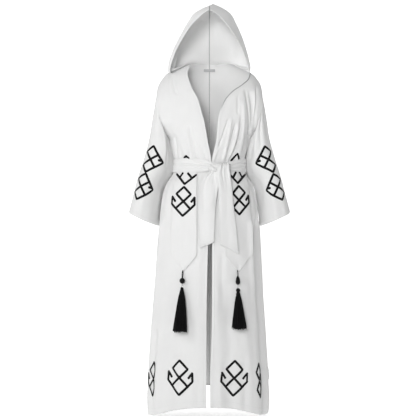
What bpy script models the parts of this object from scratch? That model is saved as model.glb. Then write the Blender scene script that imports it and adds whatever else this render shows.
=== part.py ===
"""Muslin kaftan: a long open-front kaftan with a hood, wide sleeves, a knotted tie belt, two pointed
front tabs and two tassels, in its worn, hollow form. Metres, +Z up. The front faces -Y and the wearer's
left is +X. The origin lies between the shoulders, at the height where they carry the garment."""
import math

import bmesh
import bpy
import numpy as np

WALL = 0.0020            # thickness of one cloth wall
SEAM = 0.0003            # open gap between pieces that are sewn or lie together
UNDERARM_Z = -0.250      # height of the underarm point
HEM_Z = -1.364           # lowest height of the hem, at the side seams
HEM_RISE = 0.060         # how far the hem rises from the sides to the centre
BELT_Z = -0.359          # middle height of the belt
BELT_HEIGHT = 0.060
SECTION_POWER = 0.85     # below 1 makes the body's sections fuller than an ellipse
BAND_LIFT = 0.0043       # from the body out to the inside of the belt, over the tabs
BAND_SWELL = 0.0018      # how far the band's middle stands out from its edges
BAND_GATHER = 0.0040     # how much further the gathered band stands out beside the knot
BAND_PINCH = 0.45        # share of its height that the band loses at the knot
BAND_DIP = 0.006         # how far the band drops at the knot
KNOT_ANGLE = 14.0        # degrees from the centre front to the knot
KNOT_REACH = 20.0        # degrees over which the band gathers into the knot
KNOT_SEAT = 0.0131       # from the fronts out to the back of the knot, over the band

MUSLIN = ("muslin", (0.86, 0.86, 0.85), 0.95)
SILK_BLACK = ("black_silk", (0.012, 0.012, 0.013), 0.55)
LINK_METAL = ("link_metal", (0.60, 0.60, 0.62), 0.30)


def columns(names, *rows):
    """A short table: one array for each named column, with one row for each section or fold."""
    values = np.array(rows, float)
    return {name: values[:, index] for index, name in enumerate(names.split())}


def read(table, name, at, by="z"):
    """One column of a table at the heights given, on a cubic curve that never overshoots its rows."""
    knots, values = table[by], table[name]
    if knots[0] > knots[-1]:
        knots, values = knots[::-1], values[::-1]
    steps = np.diff(knots)
    slopes = np.diff(values) / steps
    before, after = slopes[:-1], slopes[1:]
    same_way = before * after > 0
    total = np.where(same_way, before + after, 1.0)
    inner = np.where(same_way, 2 * before * after / total, 0.0)
    tangents = np.concatenate([[slopes[0]], inner, [slopes[-1]]])
    at = np.clip(at, knots[0], knots[-1])
    cell = np.clip(np.searchsorted(knots, at) - 1, 0, len(steps) - 1)
    width = steps[cell]
    s = (at - knots[cell]) / width
    return ((2 * s**3 - 3 * s**2 + 1) * values[cell] + (s**3 - 2 * s**2 + s) * width * tangents[cell]
            + (3 * s**2 - 2 * s**3) * values[cell + 1] + (s**3 - s**2) * width * tangents[cell + 1])


# Body sections below the underarm: half the width, the middle, and the depth to the front and the back.
BODY = columns(
    "z half_width centre_x front back",
    (-0.250, 0.1660, 0.002, 0.122, 0.098),
    (-0.300, 0.1570, 0.002, 0.117, 0.092),
    (-0.330, 0.1480, 0.002, 0.107, 0.086),
    (-0.359, 0.1440, 0.001, 0.101, 0.083),
    (-0.388, 0.1480, 0.000, 0.105, 0.088),
    (-0.435, 0.1760, -0.001, 0.119, 0.107),
    (-0.500, 0.1940, -0.001, 0.130, 0.128),
    (-0.611, 0.2040, -0.003, 0.140, 0.143),
    (-0.705, 0.2110, -0.004, 0.147, 0.150),
    (-0.869, 0.2215, -0.006, 0.157, 0.162),
    (-1.095, 0.2380, -0.008, 0.173, 0.180),
    (-1.364, 0.2525, -0.007, 0.190, 0.198),
)
# The shoulder line: its height by the distance from the middle of the body.
SHOULDER = columns(
    "x z",
    (0.0000, 0.0630),
    (0.0780, 0.0620),
    (0.1200, 0.0450),
    (0.1580, 0.0270),
    (0.1780, 0.0140),
    (0.1950, -0.0060),
    (0.2090, -0.0300),
    (0.2150, -0.0540),
    (0.2180, -0.0800),
)
# The armhole, from the shoulder (t 0) to the underarm (t 1): distance from the middle, and depth as a
# share of the body's depth there.
ARMHOLE = columns(
    "t x share",
    (0.00, 0.2180, 0.66),
    (0.28, 0.2145, 0.66),
    (0.50, 0.2080, 0.63),
    (0.73, 0.1970, 0.55),
    (0.90, 0.1810, 0.36),
    (0.97, 0.1710, 0.20),
    (1.00, 0.1660, 0.00),
)
# Front edges, by height: x of each front's free edge. The right one lies higher on the neck.
RIGHT_EDGE = columns(
    "z x",
    (0.0480, -0.0770),
    (0.0160, -0.0880),
    (-0.0480, -0.0715),
    (-0.0970, -0.0460),
    (-0.1490, -0.0310),
    (-0.1890, -0.0203),
    (-0.2600, -0.0078),
    (-0.3520, 0.0075),
    (-0.4200, 0.0040),
    (-0.7350, -0.0075),
    (-0.9720, -0.0120),
    (-1.3640, -0.0130),
)
LEFT_EDGE = columns(
    "z x",
    (0.0225, 0.1660),
    (-0.0150, 0.1560),
    (-0.0450, 0.1340),
    (-0.0860, 0.0920),
    (-0.1190, 0.0610),
    (-0.1400, 0.0500),
    (-0.1820, 0.0350),
    (-0.2600, 0.0265),
    (-0.3520, 0.0090),
    (-0.4200, 0.0095),
    (-0.7350, 0.0100),
    (-0.9720, 0.0090),
    (-1.2380, 0.0016),
    (-1.3640, 0.0034),
)
# Top edge of the right front: it stands as a fold in front of the shoulder line, near the neck.
RIGHT_TOP = columns(
    "x z stand_off",
    (0.0000, 0.0480, 0.036),
    (0.0770, 0.0480, 0.036),
    (0.1200, 0.0300, 0.036),
    (0.1500, 0.0150, 0.033),
    (0.1590, 0.0150, 0.024),
    (0.1680, 0.0207, 0.000),
    (0.1780, 0.0140, 0.000),
    (0.1950, -0.0060, 0.000),
    (0.2090, -0.0300, 0.000),
    (0.2150, -0.0540, 0.000),
    (0.2180, -0.0800, 0.000),
)
# Folds on the body. Angles run from the centre front, positive to the wearer's left, 180 at the centre
# back. A fold runs from its top to its bottom; a negative depth is a trough, a positive one a ridge.
FOLDS = columns(
    "z_top angle_top z_bottom angle_bottom width depth",
    (-0.140, 22.0, -0.320, 14.0, 4.6, -0.0050),
    (-0.110, 29.0, -0.330, 25.0, 4.6, 0.0040),
    (-0.120, 35.0, -0.335, 38.0, 5.2, -0.0080),
    (-0.055, 34.0, -0.330, 62.0, 6.5, -0.0105),
    (-0.070, 43.0, -0.330, 50.0, 5.0, 0.0050),
    (-0.190, -25.0, -0.335, -20.0, 5.0, -0.0040),
    (-0.200, -34.0, -0.335, -31.0, 5.0, 0.0030),
    (-0.235, -58.0, -0.345, -60.0, 6.0, -0.0060),
    (-0.200, -160.0, -0.345, -158.0, 5.0, -0.0050),
    (-0.160, -138.0, -0.345, -142.0, 5.0, -0.0060),
    (-0.220, -118.0, -0.345, -121.0, 5.0, 0.0050),
    (-0.180, 163.0, -0.345, 160.0, 5.0, -0.0050),
    (-0.150, 142.0, -0.345, 146.0, 4.5, -0.0065),
    (-0.210, 124.0, -0.345, 128.0, 5.0, 0.0050),
    (-0.380, -8.0, -0.560, -7.0, 3.5, -0.0040),
    (-0.380, -76.0, -0.600, -74.0, 5.0, -0.0050),
    (-0.380, 8.0, -0.560, 8.0, 3.5, -0.0040),
    (-0.380, 77.0, -0.620, 75.0, 5.0, -0.0055),
    (-0.370, 150.0, -0.640, 152.0, 5.0, -0.0060),
    (-0.370, 118.0, -0.620, 116.0, 6.0, -0.0055),
    (-0.370, -146.0, -0.660, -150.0, 5.0, -0.0060),
    (-0.370, -115.0, -0.620, -112.0, 6.0, -0.0055),
    (-0.640, -9.0, -1.500, -10.0, 6.0, 0.0050),
    (-0.800, -36.0, -1.500, -40.0, 9.0, -0.0080),
    (-0.560, -70.0, -1.500, -68.0, 8.0, 0.0080),
    (-0.800, 20.0, -1.500, 22.0, 7.0, -0.0070),
    (-0.800, 42.0, -1.500, 44.0, 8.0, 0.0080),
    (-0.560, 73.0, -1.500, 70.0, 7.0, -0.0080),
    (-0.560, 98.0, -1.500, 98.0, 9.0, 0.0080),
    (-0.560, 126.0, -1.500, 124.0, 9.0, -0.0120),
    (-0.560, 150.0, -1.500, 149.0, 8.0, 0.0100),
    (-0.560, 172.0, -1.500, 172.0, 7.0, -0.0090),
    (-0.560, -98.0, -1.500, -97.0, 9.0, -0.0090),
    (-0.560, -122.0, -1.500, -124.0, 8.0, 0.0110),
    (-0.560, -146.0, -1.500, -146.0, 8.0, -0.0110),
    (-0.560, -166.0, -1.500, -165.0, 7.0, 0.0080),
)
FOLD_FADE = 0.045        # height over which a fold rises from nothing and dies away

# Sleeve sections from the armhole to the cuff, seen from the front: the outer and the inner side, half
# the depth, how far the section leans forward, and how far its inner side swings back behind the body.
SLEEVE = columns(
    "outer_x outer_z inner_x inner_z half_depth forward back",
    (0.2320, -0.1600, 0.1690, -0.2800, 0.078, 0.004, 0.020),
    (0.2470, -0.2540, 0.1530, -0.3400, 0.078, 0.008, 0.055),
    (0.2680, -0.3300, 0.1540, -0.3950, 0.076, 0.012, 0.062),
    (0.2880, -0.3950, 0.1840, -0.4500, 0.075, 0.015, 0.062),
    (0.3080, -0.4700, 0.1995, -0.5300, 0.074, 0.018, 0.063),
    (0.3290, -0.5520, 0.2070, -0.6080, 0.074, 0.020, 0.064),
)
# Folds along a sleeve: the place round it (0 outer, 90 front, 180 inner), its start and end along it.
SLEEVE_FOLDS = columns(
    "angle_top angle_bottom start end width depth",
    (128.0, 140.0, 0.10, 0.75, 16.0, -0.0070),
    (100.0, 104.0, 0.05, 0.60, 14.0, 0.0040),
    (60.0, 66.0, 0.20, 1.10, 16.0, -0.0040),
    (-60.0, -70.0, 0.10, 1.10, 18.0, -0.0060),
    (-115.0, -120.0, 0.05, 0.90, 18.0, -0.0070),
    (-20.0, -22.0, 0.45, 1.10, 16.0, 0.0040),
)
# Hood sections from just above the neck seam to the crown seam: the rim, the widest place at the side,
# and the back seam.
HOOD = columns(
    "rim_x rim_y rim_z side_x side_y side_z back_y back_z",
    (0.1590, -0.044, 0.036, 0.1690, 0.000, 0.038, 0.093, 0.088),
    (0.1450, -0.060, 0.075, 0.1605, 0.010, 0.082, 0.110, 0.122),
    (0.1300, -0.073, 0.110, 0.1490, 0.018, 0.121, 0.123, 0.154),
    (0.1110, -0.081, 0.143, 0.1340, 0.022, 0.157, 0.130, 0.184),
    (0.0890, -0.086, 0.178, 0.1160, 0.022, 0.192, 0.132, 0.211),
    (0.0620, -0.089, 0.212, 0.0960, 0.016, 0.228, 0.129, 0.235),
    (0.0330, -0.091, 0.241, 0.0690, 0.006, 0.268, 0.121, 0.253),
    (0.0002, -0.092, 0.262, 0.0004, -0.005, 0.301, 0.108, 0.266),
)
HOOD_LEAN = 0.022        # the crown tips to the wearer's left
HOOD_FOOT_SHARE = 0.12   # share of the lower edge that climbs from the rim to the shoulder line
NECK_DEPTH = 0.075       # how far the back neck lies behind the shoulder line
NECK_HALF = 0.105        # half width of the back neck's curve

# Outline of a front tab: its inner and outer edge, from the tab's own middle plane.
TAB = columns(
    "z inner outer",
    (-0.359, 0.0545, 0.127),
    (-0.405, 0.0545, 0.137),
    (-0.450, 0.0545, 0.152),
    (-0.520, 0.0545, 0.158),
    (-0.716, 0.0545, 0.160),
)
TAB_CENTRE = 0.005
TAB_TIP_X = 0.108
TAB_TIP_Z = -0.781
TAB_SHOULDER_Z = -0.716  # where a tab's straight edges end and its point begins
TAB_LIFT = 0.0010        # from the front out to the back of a tab

# The belt's two ends: left and right edge, and how far each hangs off the fronts.
RIGHT_END = columns(
    "z left right stand_off",
    (-0.3992, -0.0120, 0.0180, 0.018),
    (-0.430, -0.028, 0.0200, 0.016),
    (-0.520, -0.041, 0.0230, 0.012),
    (-0.680, -0.041, 0.0245, 0.011),
)
RIGHT_END_CORNERS = (-0.687, -0.660)
LEFT_END = columns(
    "z left right stand_off",
    (-0.4000, 0.0270, 0.0730, 0.018),
    (-0.430, 0.0300, 0.0810, 0.016),
    (-0.520, 0.0330, 0.0900, 0.013),
    (-0.700, 0.0400, 0.1140, 0.012),
)
LEFT_END_CORNERS = (-0.671, -0.7075)

# The knot, in sections across it from the wearer's right to the left.
KNOT = columns(
    "x z half_height half_depth",
    (-0.0080, -0.366, 0.0100, 0.0070),
    (0.0040, -0.368, 0.0190, 0.0125),
    (0.0200, -0.371, 0.0245, 0.0155),
    (0.0400, -0.370, 0.0240, 0.0165),
    (0.0600, -0.367, 0.0230, 0.0150),
    (0.0760, -0.362, 0.0170, 0.0110),
    (0.0860, -0.358, 0.0090, 0.0060),
)

# Tassels, one row for each: x of the tab's middle plane side, the cord loop's length, the bead's half
# height and half width, the link's length, the radius of the knot over the head, and the strands' length.
TASSELS = columns(
    "side loop bead_height bead_width link knot length",
    (-1, 0.022, 0.0105, 0.0100, 0.015, 0.0000, 0.165),
    (1, 0.014, 0.0175, 0.0095, 0.016, 0.0075, 0.158),
)
TASSEL_TOP_RADIUS = 0.0085
TASSEL_FOOT_RADIUS = 0.0270
LOOP_RADIUS = 0.0016
LINK_RADIUS = 0.0009
TASSEL_BEAD_CLEAR = 0.0150   # from the front out to the bead's middle
TASSEL_FOOT_CLEAR = 0.0380   # from the front out to the middle of the tassel's foot

HEAD_LENGTH = 0.030      # the wound head, down to where the strands part
STRAND_SIZE = 0.62       # share of its cell that a strand fills at its root
STRAND_GROWTH = 0.55     # share of the tassel's flare that also thickens each strand
LABEL_WIDTH = 0.050
LABEL_HEIGHT = 0.011
LABEL_DROP = 0.022       # from the neck seam down to the label's middle
LABEL_GAP = 0.0012       # room for the curve of the back behind the flat label


# The rows of the body's grid: shares of the yoke, then heights. The first one is the shoulder seam.
YOKE_ROWS = np.array([1e-7, 0.006, 0.03, 0.08, 0.15, 0.24, 0.34, 0.45, 0.56, 0.67, 0.78, 0.88, 0.95])
SKIRT_HEIGHTS = np.array([-0.250, -0.280, -0.310, -0.336, -0.359, -0.388, -0.415, -0.445, -0.490, -0.550,
                          -0.620, -0.710, -0.810, -0.920, -1.050, -1.180, -1.290, -1.364])


def dome(t, roundness):
    """0 on the shoulder line and 1 at the underarm, upright where it leaves the shoulder line."""
    return (1 - (1 - np.clip(t, 0, 1))**roundness)**(1 / roundness)


def body_frame(t, z, facing):
    """Half width of the full section, its depth and its middle: t serves the yoke, z all below it."""
    share = read(ARMHOLE, "share", t, "t")
    yoke_half = read(ARMHOLE, "x", t, "t") / np.sqrt(1 - share**(2 / SECTION_POWER))
    column, roundness = ("front", 2.3) if facing < 0 else ("back", 2.0)
    depth = read(BODY, column, z) * np.where(t < 1, dome(t, roundness), 1.0)
    half = np.where(t < 1, yoke_half, read(BODY, "half_width", z))
    centre = np.where(t < 1, 0.002 * t, read(BODY, "centre_x", z))
    return half, depth, centre


def fold_depth(angle, z):
    """Sum of the body's folds at an angle and a height: a bell across each fold, faded at its ends."""
    total = np.zeros_like(z)
    for z_top, a_top, z_bottom, a_bottom, width, depth in zip(*FOLDS.values()):
        along = np.clip((z_top - z) / (z_top - z_bottom), 0, 1)
        middle = a_top + (a_bottom - a_top) * along
        across = (angle - middle + 180) % 360 - 180
        fade = smooth((z_top - z) / FOLD_FADE) * smooth((z - z_bottom) / FOLD_FADE)
        total += depth * np.exp(-(across / width)**2) * fade
    return total


def smooth(value):
    """0 below 0, 1 above 1, with an even start and end."""
    value = np.clip(value, 0, 1)
    return value * value * (3 - 2 * value)


def body(side, facing, across, row, folded=True):
    """Points of the body. across is 0 at the middle and 90 at the side, in degrees of the section;
    row is 0 on the shoulder line, 1 at the underarm and 2 at the hem."""
    across, row = np.broadcast_arrays(np.asarray(across, float), np.asarray(row, float))
    t, below = np.clip(row, 0, 1), np.clip(row - 1, 0, 1.02)
    level = UNDERARM_Z + (HEM_Z - UNDERARM_Z) * below
    half, depth, centre = body_frame(t, level, facing)
    wave = np.sin(np.radians(across))
    distance = half * wave
    rise = HEM_RISE * below**3 * (1 - np.abs(wave)**2.5)**1.5
    if facing < 0 and side < 0:
        top = read(RIGHT_TOP, "z", distance, "x")
        stand_off = read(RIGHT_TOP, "stand_off", distance, "x")
    elif facing < 0:
        top, stand_off = read(SHOULDER, "z", distance, "x"), 0.0
    else:
        top = read(SHOULDER, "z", distance, "x")
        stand_off = NECK_DEPTH * np.clip(1 - (distance / NECK_HALF)**2, 0, 1)**2
    z = np.where(row < 1, top + (UNDERARM_Z - top) * t, level + rise)
    flat = depth * np.cos(np.radians(across)).clip(0, 1)**SECTION_POWER
    y = facing * np.sqrt(flat**2 + (stand_off * (1 - t))**2)
    points = np.stack([centre + side * distance, y, z], axis=-1)
    if not folded:
        return points
    angle = side * across if facing < 0 else side * (180 - across)
    normal = normals(lambda a, b: body(side, facing, a, b, False), across, row, 0.5, 0.004, (90, 2))
    return points + normal * fold_depth(angle, z)[..., None]


def normals(surface, a, b, step_a, step_b, limits):
    """Unit normals of a surface, from its differences, pointing away from the axis of the garment."""
    a_up, a_down = np.minimum(a + step_a, limits[0]), a - step_a
    b_up, b_down = np.minimum(b + step_b, limits[1]), np.maximum(b - step_b, 0)
    normal = np.cross(surface(a_up, b) - surface(a_down, b), surface(a, b_up) - surface(a, b_down))
    length = np.linalg.norm(normal, axis=-1, keepdims=True)
    normal = normal / np.maximum(length, 1e-12)
    points = surface(a, b)
    outward = np.sum(normal * points * [1, 1, 0.4])
    return normal if outward > 0 else -normal


def panel_grid(side, facing, edge, column_count, rows):
    """Angles and rows of one panel: each row runs from the panel's inner edge to the side or armhole."""
    rows = np.asarray(rows, float)[:, None]
    t = np.clip(rows, 0, 1)
    level = UNDERARM_Z + (HEM_Z - UNDERARM_Z) * np.clip(rows - 1, 0, 1)
    half, _, centre = body_frame(t, level, facing)
    if edge is None:
        inner = SEAM / 2 - side * centre
    else:
        top = edge["z"][0]
        height = np.where(rows < 1, top + (UNDERARM_Z - top) * t, level + HEM_RISE * (rows - 1).clip(0)**3)
        inner = side * (read(edge, "x", height) - centre)
    outer = np.where(rows < 1, read(ARMHOLE, "x", t, "t"), half)
    start = np.degrees(np.arcsin(np.clip(inner / half, -1, 1)))
    end = np.degrees(np.arcsin(np.clip(outer / half, -1, 1)))
    end -= np.degrees(SEAM / 2 / read(BODY, "front", level))
    u = np.linspace(0, 1, column_count)[None, :]
    return start + (end - start) * u, np.broadcast_to(rows, (len(rows), column_count))


def new_object(name, mesh, finish):
    """Links one named piece with its material."""
    slot, colour, roughness = finish
    material = bpy.data.materials.get(slot) or bpy.data.materials.new(slot)
    material.use_nodes = True
    shader = material.node_tree.nodes["Principled BSDF"]
    shader.inputs["Base Color"].default_value = (*colour, 1)
    shader.inputs["Roughness"].default_value = roughness
    shader.inputs["Metallic"].default_value = 0.9 if finish is LINK_METAL else 0.0
    mesh.materials.append(material)
    mesh.shade_smooth()
    piece = bpy.data.objects.new(name, mesh)
    garment.objects.link(piece)
    return piece


def closed_mesh(name, points, faces, finish):
    """A mesh from points and faces, turned so that its faces look outwards."""
    mesh = bpy.data.meshes.new(name)
    mesh.from_pydata(np.asarray(points).tolist(), [], faces)
    form = bmesh.new()
    form.from_mesh(mesh)
    if form.calc_volume(signed=True) < 0:
        bmesh.ops.reverse_faces(form, faces=form.faces)
    form.to_mesh(mesh)
    form.free()
    return new_object(name, mesh, finish)


def wall(name, outer, inner, finish=MUSLIN, round_columns=False):
    """A cloth wall between two grids of points: both skins and a strip round every free edge."""
    rows, count = outer.shape[:2]
    points = np.concatenate([outer.reshape(-1, 3), inner.reshape(-1, 3)])
    step = rows * count
    faces = []
    last = count if round_columns else count - 1
    for r in range(rows - 1):
        for c in range(last):
            a, b = r * count + c, r * count + (c + 1) % count
            d, e = a + count, b + count
            faces.append((a, b, e, d))
            faces.append((a + step, d + step, e + step, b + step))
    for c in range(last):
        a, b = c, (c + 1) % count
        faces.append((a, a + step, b + step, b))
        a, b = (rows - 1) * count + c, (rows - 1) * count + (c + 1) % count
        faces.append((a, b, b + step, a + step))
    if not round_columns:
        for r in range(rows - 1):
            a, b = r * count, (r + 1) * count
            faces.append((a, b, b + step, a + step))
            a, b = a + count - 1, b + count - 1
            faces.append((a, a + step, b + step, b))
    return closed_mesh(name, points, faces, finish)


def loft(rings, at):
    """Rings between the given ones: a smooth curve through each ring's own point of the same number."""
    rings = np.asarray(rings)
    last = len(rings) - 1
    place = np.clip(at, 0, 1) * last
    cell = np.minimum(place.astype(int), last - 1)
    s = (place - cell).reshape((-1,) + (1,) * (rings.ndim - 1))
    p0, p1 = rings[np.maximum(cell - 1, 0)], rings[cell]
    p2, p3 = rings[cell + 1], rings[np.minimum(cell + 2, last)]
    return 0.5 * (2 * p1 + (p2 - p0) * s + (2 * p0 - 5 * p1 + 4 * p2 - p3) * s**2
                  + (3 * p1 - p0 - 3 * p2 + p3) * s**3)


def grid_normals(points, round_columns=False):
    """Unit normals of a grid of points, from its neighbours, on the side of the cross product."""
    if round_columns:
        across = np.roll(points, -1, axis=1) - np.roll(points, 1, axis=1)
    else:
        across = np.gradient(points, axis=1)
    normal = np.cross(across, np.gradient(points, axis=0))
    return normal / np.maximum(np.linalg.norm(normal, axis=-1, keepdims=True), 1e-12)


def make_body():
    """Two fronts and two back halves, from the shoulder line and the neck to the hem."""
    rows = np.concatenate([YOKE_ROWS, 1 + (SKIRT_HEIGHTS - UNDERARM_Z) / (HEM_Z - UNDERARM_Z)])
    for name, side, facing, edge, count in (
        ("front_right", -1, -1, RIGHT_EDGE, 17),
        ("front_left", 1, -1, LEFT_EDGE, 20),
        ("back_right", -1, 1, None, 12),
        ("back_left", 1, 1, None, 12),
    ):
        across, row = panel_grid(side, facing, edge, count, rows)
        outer = body(side, facing, across, row)
        normal = normals(lambda a, b: body(side, facing, a, b, False), across, row, 0.5, 0.004, (90, 2))
        inner = outer - normal * WALL
        for skin in (outer, inner):
            skin[0, :, 1] = facing * np.maximum(facing * skin[0, :, 1], SEAM / 2)
        wall(name, outer, inner)


def armhole_ring(side, around):
    """The armhole's own edge and its normals, from the shoulder over the front and underarm and up the
    back."""
    t = (1 - np.cos(around)) / 2
    facing = np.where(np.sin(around) >= 0, -1, 1)[:, None]
    ring, ring_normals = np.zeros((len(around), 3)), np.zeros((len(around), 3))
    for face in (-1, 1):
        half, _, _ = body_frame(t, np.full_like(t, UNDERARM_Z), face)
        across = np.degrees(np.arcsin(np.clip(read(ARMHOLE, "x", t, "t") / half, -1, 1)))
        bare = lambda a, b: body(side, face, a, b, False)
        ring = np.where(facing == face, body(side, face, across, t), ring)
        spread = normals(bare, across, t.clip(0.002, 1), 0.5, 0.004, (90, 2))
        ring_normals = np.where(facing == face, spread, ring_normals)
    return ring, ring_normals


def sleeve_points(side, at):
    """Points of a sleeve: rings round its slanting middle line, the first one on the armhole, with a
    point at each row of the body's grid."""
    front_half = np.arccos(1 - 2 * YOKE_ROWS[1:])
    around = np.concatenate([[0], front_half, [math.pi], 2 * math.pi - front_half[::-1]])
    ring, ring_normals = armhole_ring(side, around)
    rings = [ring + [side * SEAM, 0, -SEAM]]
    for outer_x, outer_z, inner_x, inner_z, half_depth, forward, back in zip(*SLEEVE.values()):
        swing = np.cos(around)
        x = (outer_x + inner_x) / 2 + (outer_x - inner_x) / 2 * swing
        z = (outer_z + inner_z) / 2 + (outer_z - inner_z) / 2 * swing
        y = -forward - half_depth * np.sign(np.sin(around)) * np.abs(np.sin(around))**0.9
        y += back * ((1 - swing) / 2)**2
        rings.append(np.stack([side * x, y, z], axis=-1))
    points = loft(rings, at)
    normal = grid_normals(points, round_columns=True)
    middle = points.mean(axis=1, keepdims=True)
    if np.sum(normal * (points - middle)) < 0:
        normal = -normal
    upper = np.cos(around)[:, None] > 0
    normal[0] = np.where(upper, ring_normals, normal[0])
    total = np.zeros(points.shape[:2])
    degrees = np.degrees(around)[None, :]
    along = at[:, None]
    for a_top, a_bottom, start, end, width, depth in zip(*SLEEVE_FOLDS.values()):
        line = a_top + (a_bottom - a_top) * along
        across = (degrees - line + 180) % 360 - 180
        fade = smooth((along - start) / 0.15) * smooth((end - along) / 0.15)
        total += depth * np.exp(-(across / width)**2) * fade
    return points + normal * total[..., None], normal


def make_sleeves():
    """Two wide sleeves that hang from the dropped armholes, open at the cuff."""
    at = np.concatenate([[0, 0.05], np.linspace(0.13, 1, 10)])
    for name, side in (("sleeve_right", -1), ("sleeve_left", 1)):
        points, normal = sleeve_points(side, at)
        wall(name, points, points - normal * WALL, round_columns=True)


def hood_foot(side, u):
    """The hood's lower edge: up the front's own edge from the rim to the shoulder line, then along the
    back's top edge to the centre back."""
    corner = 0.1680 if side < 0 else 0.1652
    turn = np.clip(u / HOOD_FOOT_SHARE, 0, 1)
    if side < 0:
        distance = 0.1580 + (corner - 0.1580) * turn
        clear = 0.0012 + 0.0030 * np.sin(math.pi * turn)
        front = np.stack([distance, -read(RIGHT_TOP, "stand_off", distance, "x"),
                          read(RIGHT_TOP, "z", distance, "x") + clear], axis=-1)
    else:
        row = 0.038 * (1 - turn)
        top = LEFT_EDGE["z"][0]
        height = top + (UNDERARM_Z - top) * row
        half, _, _ = body_frame(row, np.full_like(row, UNDERARM_Z), -1)
        across = np.degrees(np.arcsin((read(LEFT_EDGE, "x", height) - 2 * SEAM) / half))
        front = body(1, -1, across, row)
    distance = corner * (1 - (u - HOOD_FOOT_SHARE) / (1 - HOOD_FOOT_SHARE))
    neck = NECK_DEPTH * np.clip(1 - (distance / NECK_HALF)**2, 0, 1)**2
    back = np.stack([distance, neck, read(SHOULDER, "z", distance, "x") + SEAM], axis=-1)
    return np.where((u <= HOOD_FOOT_SHARE)[:, None], front, back)


def hood_points(side, u, v):
    """Points of a hood half: each section runs from the rim round the side to the back seam."""
    u = np.asarray(u, float)
    rings = [hood_foot(side, u)]
    for rim_x, rim_y, rim_z, side_x, side_y, side_z, back_y, back_z in zip(*HOOD.values()):
        first = -np.arccos(np.clip(rim_x / max(side_x, 1e-6), 0, 1))
        turn = first + (math.pi / 2 - first) * u
        x = side_x * np.cos(turn)
        front_part = np.sin(turn.clip(None, 0)) / np.sin(first) if first else 0 * u
        back_part = np.sin(turn.clip(0, None))
        y = side_y + (rim_y - side_y) * front_part + (back_y - side_y) * back_part
        z = side_z + (rim_z - side_z) * front_part**2 + (back_z - side_z) * back_part**2
        rings.append(np.stack([x, y, z], axis=-1))
    points = loft(rings, v)
    points[..., 0] += SEAM / 2
    lean = HOOD_LEAN * (v[:, None]**3) * np.sin(math.pi * u[None, :])**2
    points[..., 0] = side * points[..., 0] + lean
    return points


def make_hood():
    """Two hood halves, joined along the crown and the back, with the open rim to the front."""
    u = np.concatenate([[0, 0.06, HOOD_FOOT_SHARE], np.linspace(0.20, 1, 10)])
    v = np.linspace(0, 1, 14)
    for name, side in (("hood_right", -1), ("hood_left", 1)):
        points = hood_points(side, u, v)
        normal = grid_normals(points)
        if np.sum(normal * (points - [0, 0.02, 0.10])) < 0:
            normal = -normal
        normal[:, -1, 0] = 0
        normal[-1, :, 0] = 0
        normal /= np.linalg.norm(normal, axis=-1, keepdims=True)
        wall(name, points, points - normal * WALL)


def front_skin(x, z, lift):
    """Points on the fronts below the underarm at x and z, moved out by lift, following the folds."""
    x, z, lift = np.broadcast_arrays(np.asarray(x, float), np.asarray(z, float), np.asarray(lift, float))
    side = np.where(x >= 0, 1, -1)
    row = 1 + (z - UNDERARM_Z) / (HEM_Z - UNDERARM_Z)
    half, _, centre = body_frame(np.ones_like(z), z, -1)
    across = np.degrees(np.arcsin(np.clip(side * (x - centre) / half, -1, 1)))
    out = np.zeros(x.shape + (3,))
    for one in (-1, 1):
        bare = lambda a, b: body(one, -1, a, b, False)
        spread = normals(bare, across, row, 0.5, 0.004, (90, 2))
        points = body(one, -1, across, row) + spread * lift[..., None]
        out = np.where((side == one)[..., None], points, out)
    return out


def make_tabs():
    """Two pointed tabs that lie on the fronts, from the waist under the belt down to their tips."""
    for name, side in (("tab_right", -1), ("tab_left", 1)):
        on_front = SKIRT_HEIGHTS[(SKIRT_HEIGHTS < BELT_Z + SEAM) & (SKIRT_HEIGHTS > TAB_SHOULDER_Z)]
        z = np.concatenate([on_front, np.linspace(TAB_SHOULDER_Z, TAB_TIP_Z, 4)])
        shut = np.clip((TAB_SHOULDER_Z - z) / (TAB_SHOULDER_Z - TAB_TIP_Z), 0, 0.97)
        inner = read(TAB, "inner", z) + (TAB_TIP_X - TAB["inner"][-1]) * shut
        outer = read(TAB, "outer", z) + (TAB_TIP_X - TAB["outer"][-1]) * shut
        u = np.linspace(0, 1, 8)
        x = TAB_CENTRE + side * (inner[:, None] + (outer - inner)[:, None] * u[None, :])
        heights = np.broadcast_to(z[:, None], x.shape)
        wall(name, front_skin(x, heights, TAB_LIFT + WALL), front_skin(x, heights, TAB_LIFT))


def belt_skin(angle, z, lift):
    """Points round the waist at an angle and a height, moved out by lift."""
    angle, z, lift = np.broadcast_arrays(angle, z, lift)
    row = 1 + (z - UNDERARM_Z) / (HEM_Z - UNDERARM_Z)
    out = np.zeros(angle.shape + (3,))
    for side in (-1, 1):
        for facing in (-1, 1):
            across = np.abs(angle) if facing < 0 else 180 - np.abs(angle)
            chosen = (np.where(angle >= 0, 1, -1) == side) & ((np.abs(angle) <= 90) == (facing < 0))
            across = np.where(chosen, across, 45.0)
            bare = lambda a, b: body(side, facing, a, b, False)
            spread = normals(bare, across, row, 0.5, 0.004, (90, 2))
            points = bare(across, row) + spread * lift[..., None]
            out = np.where(chosen[..., None], points, out)
    return out


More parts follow.
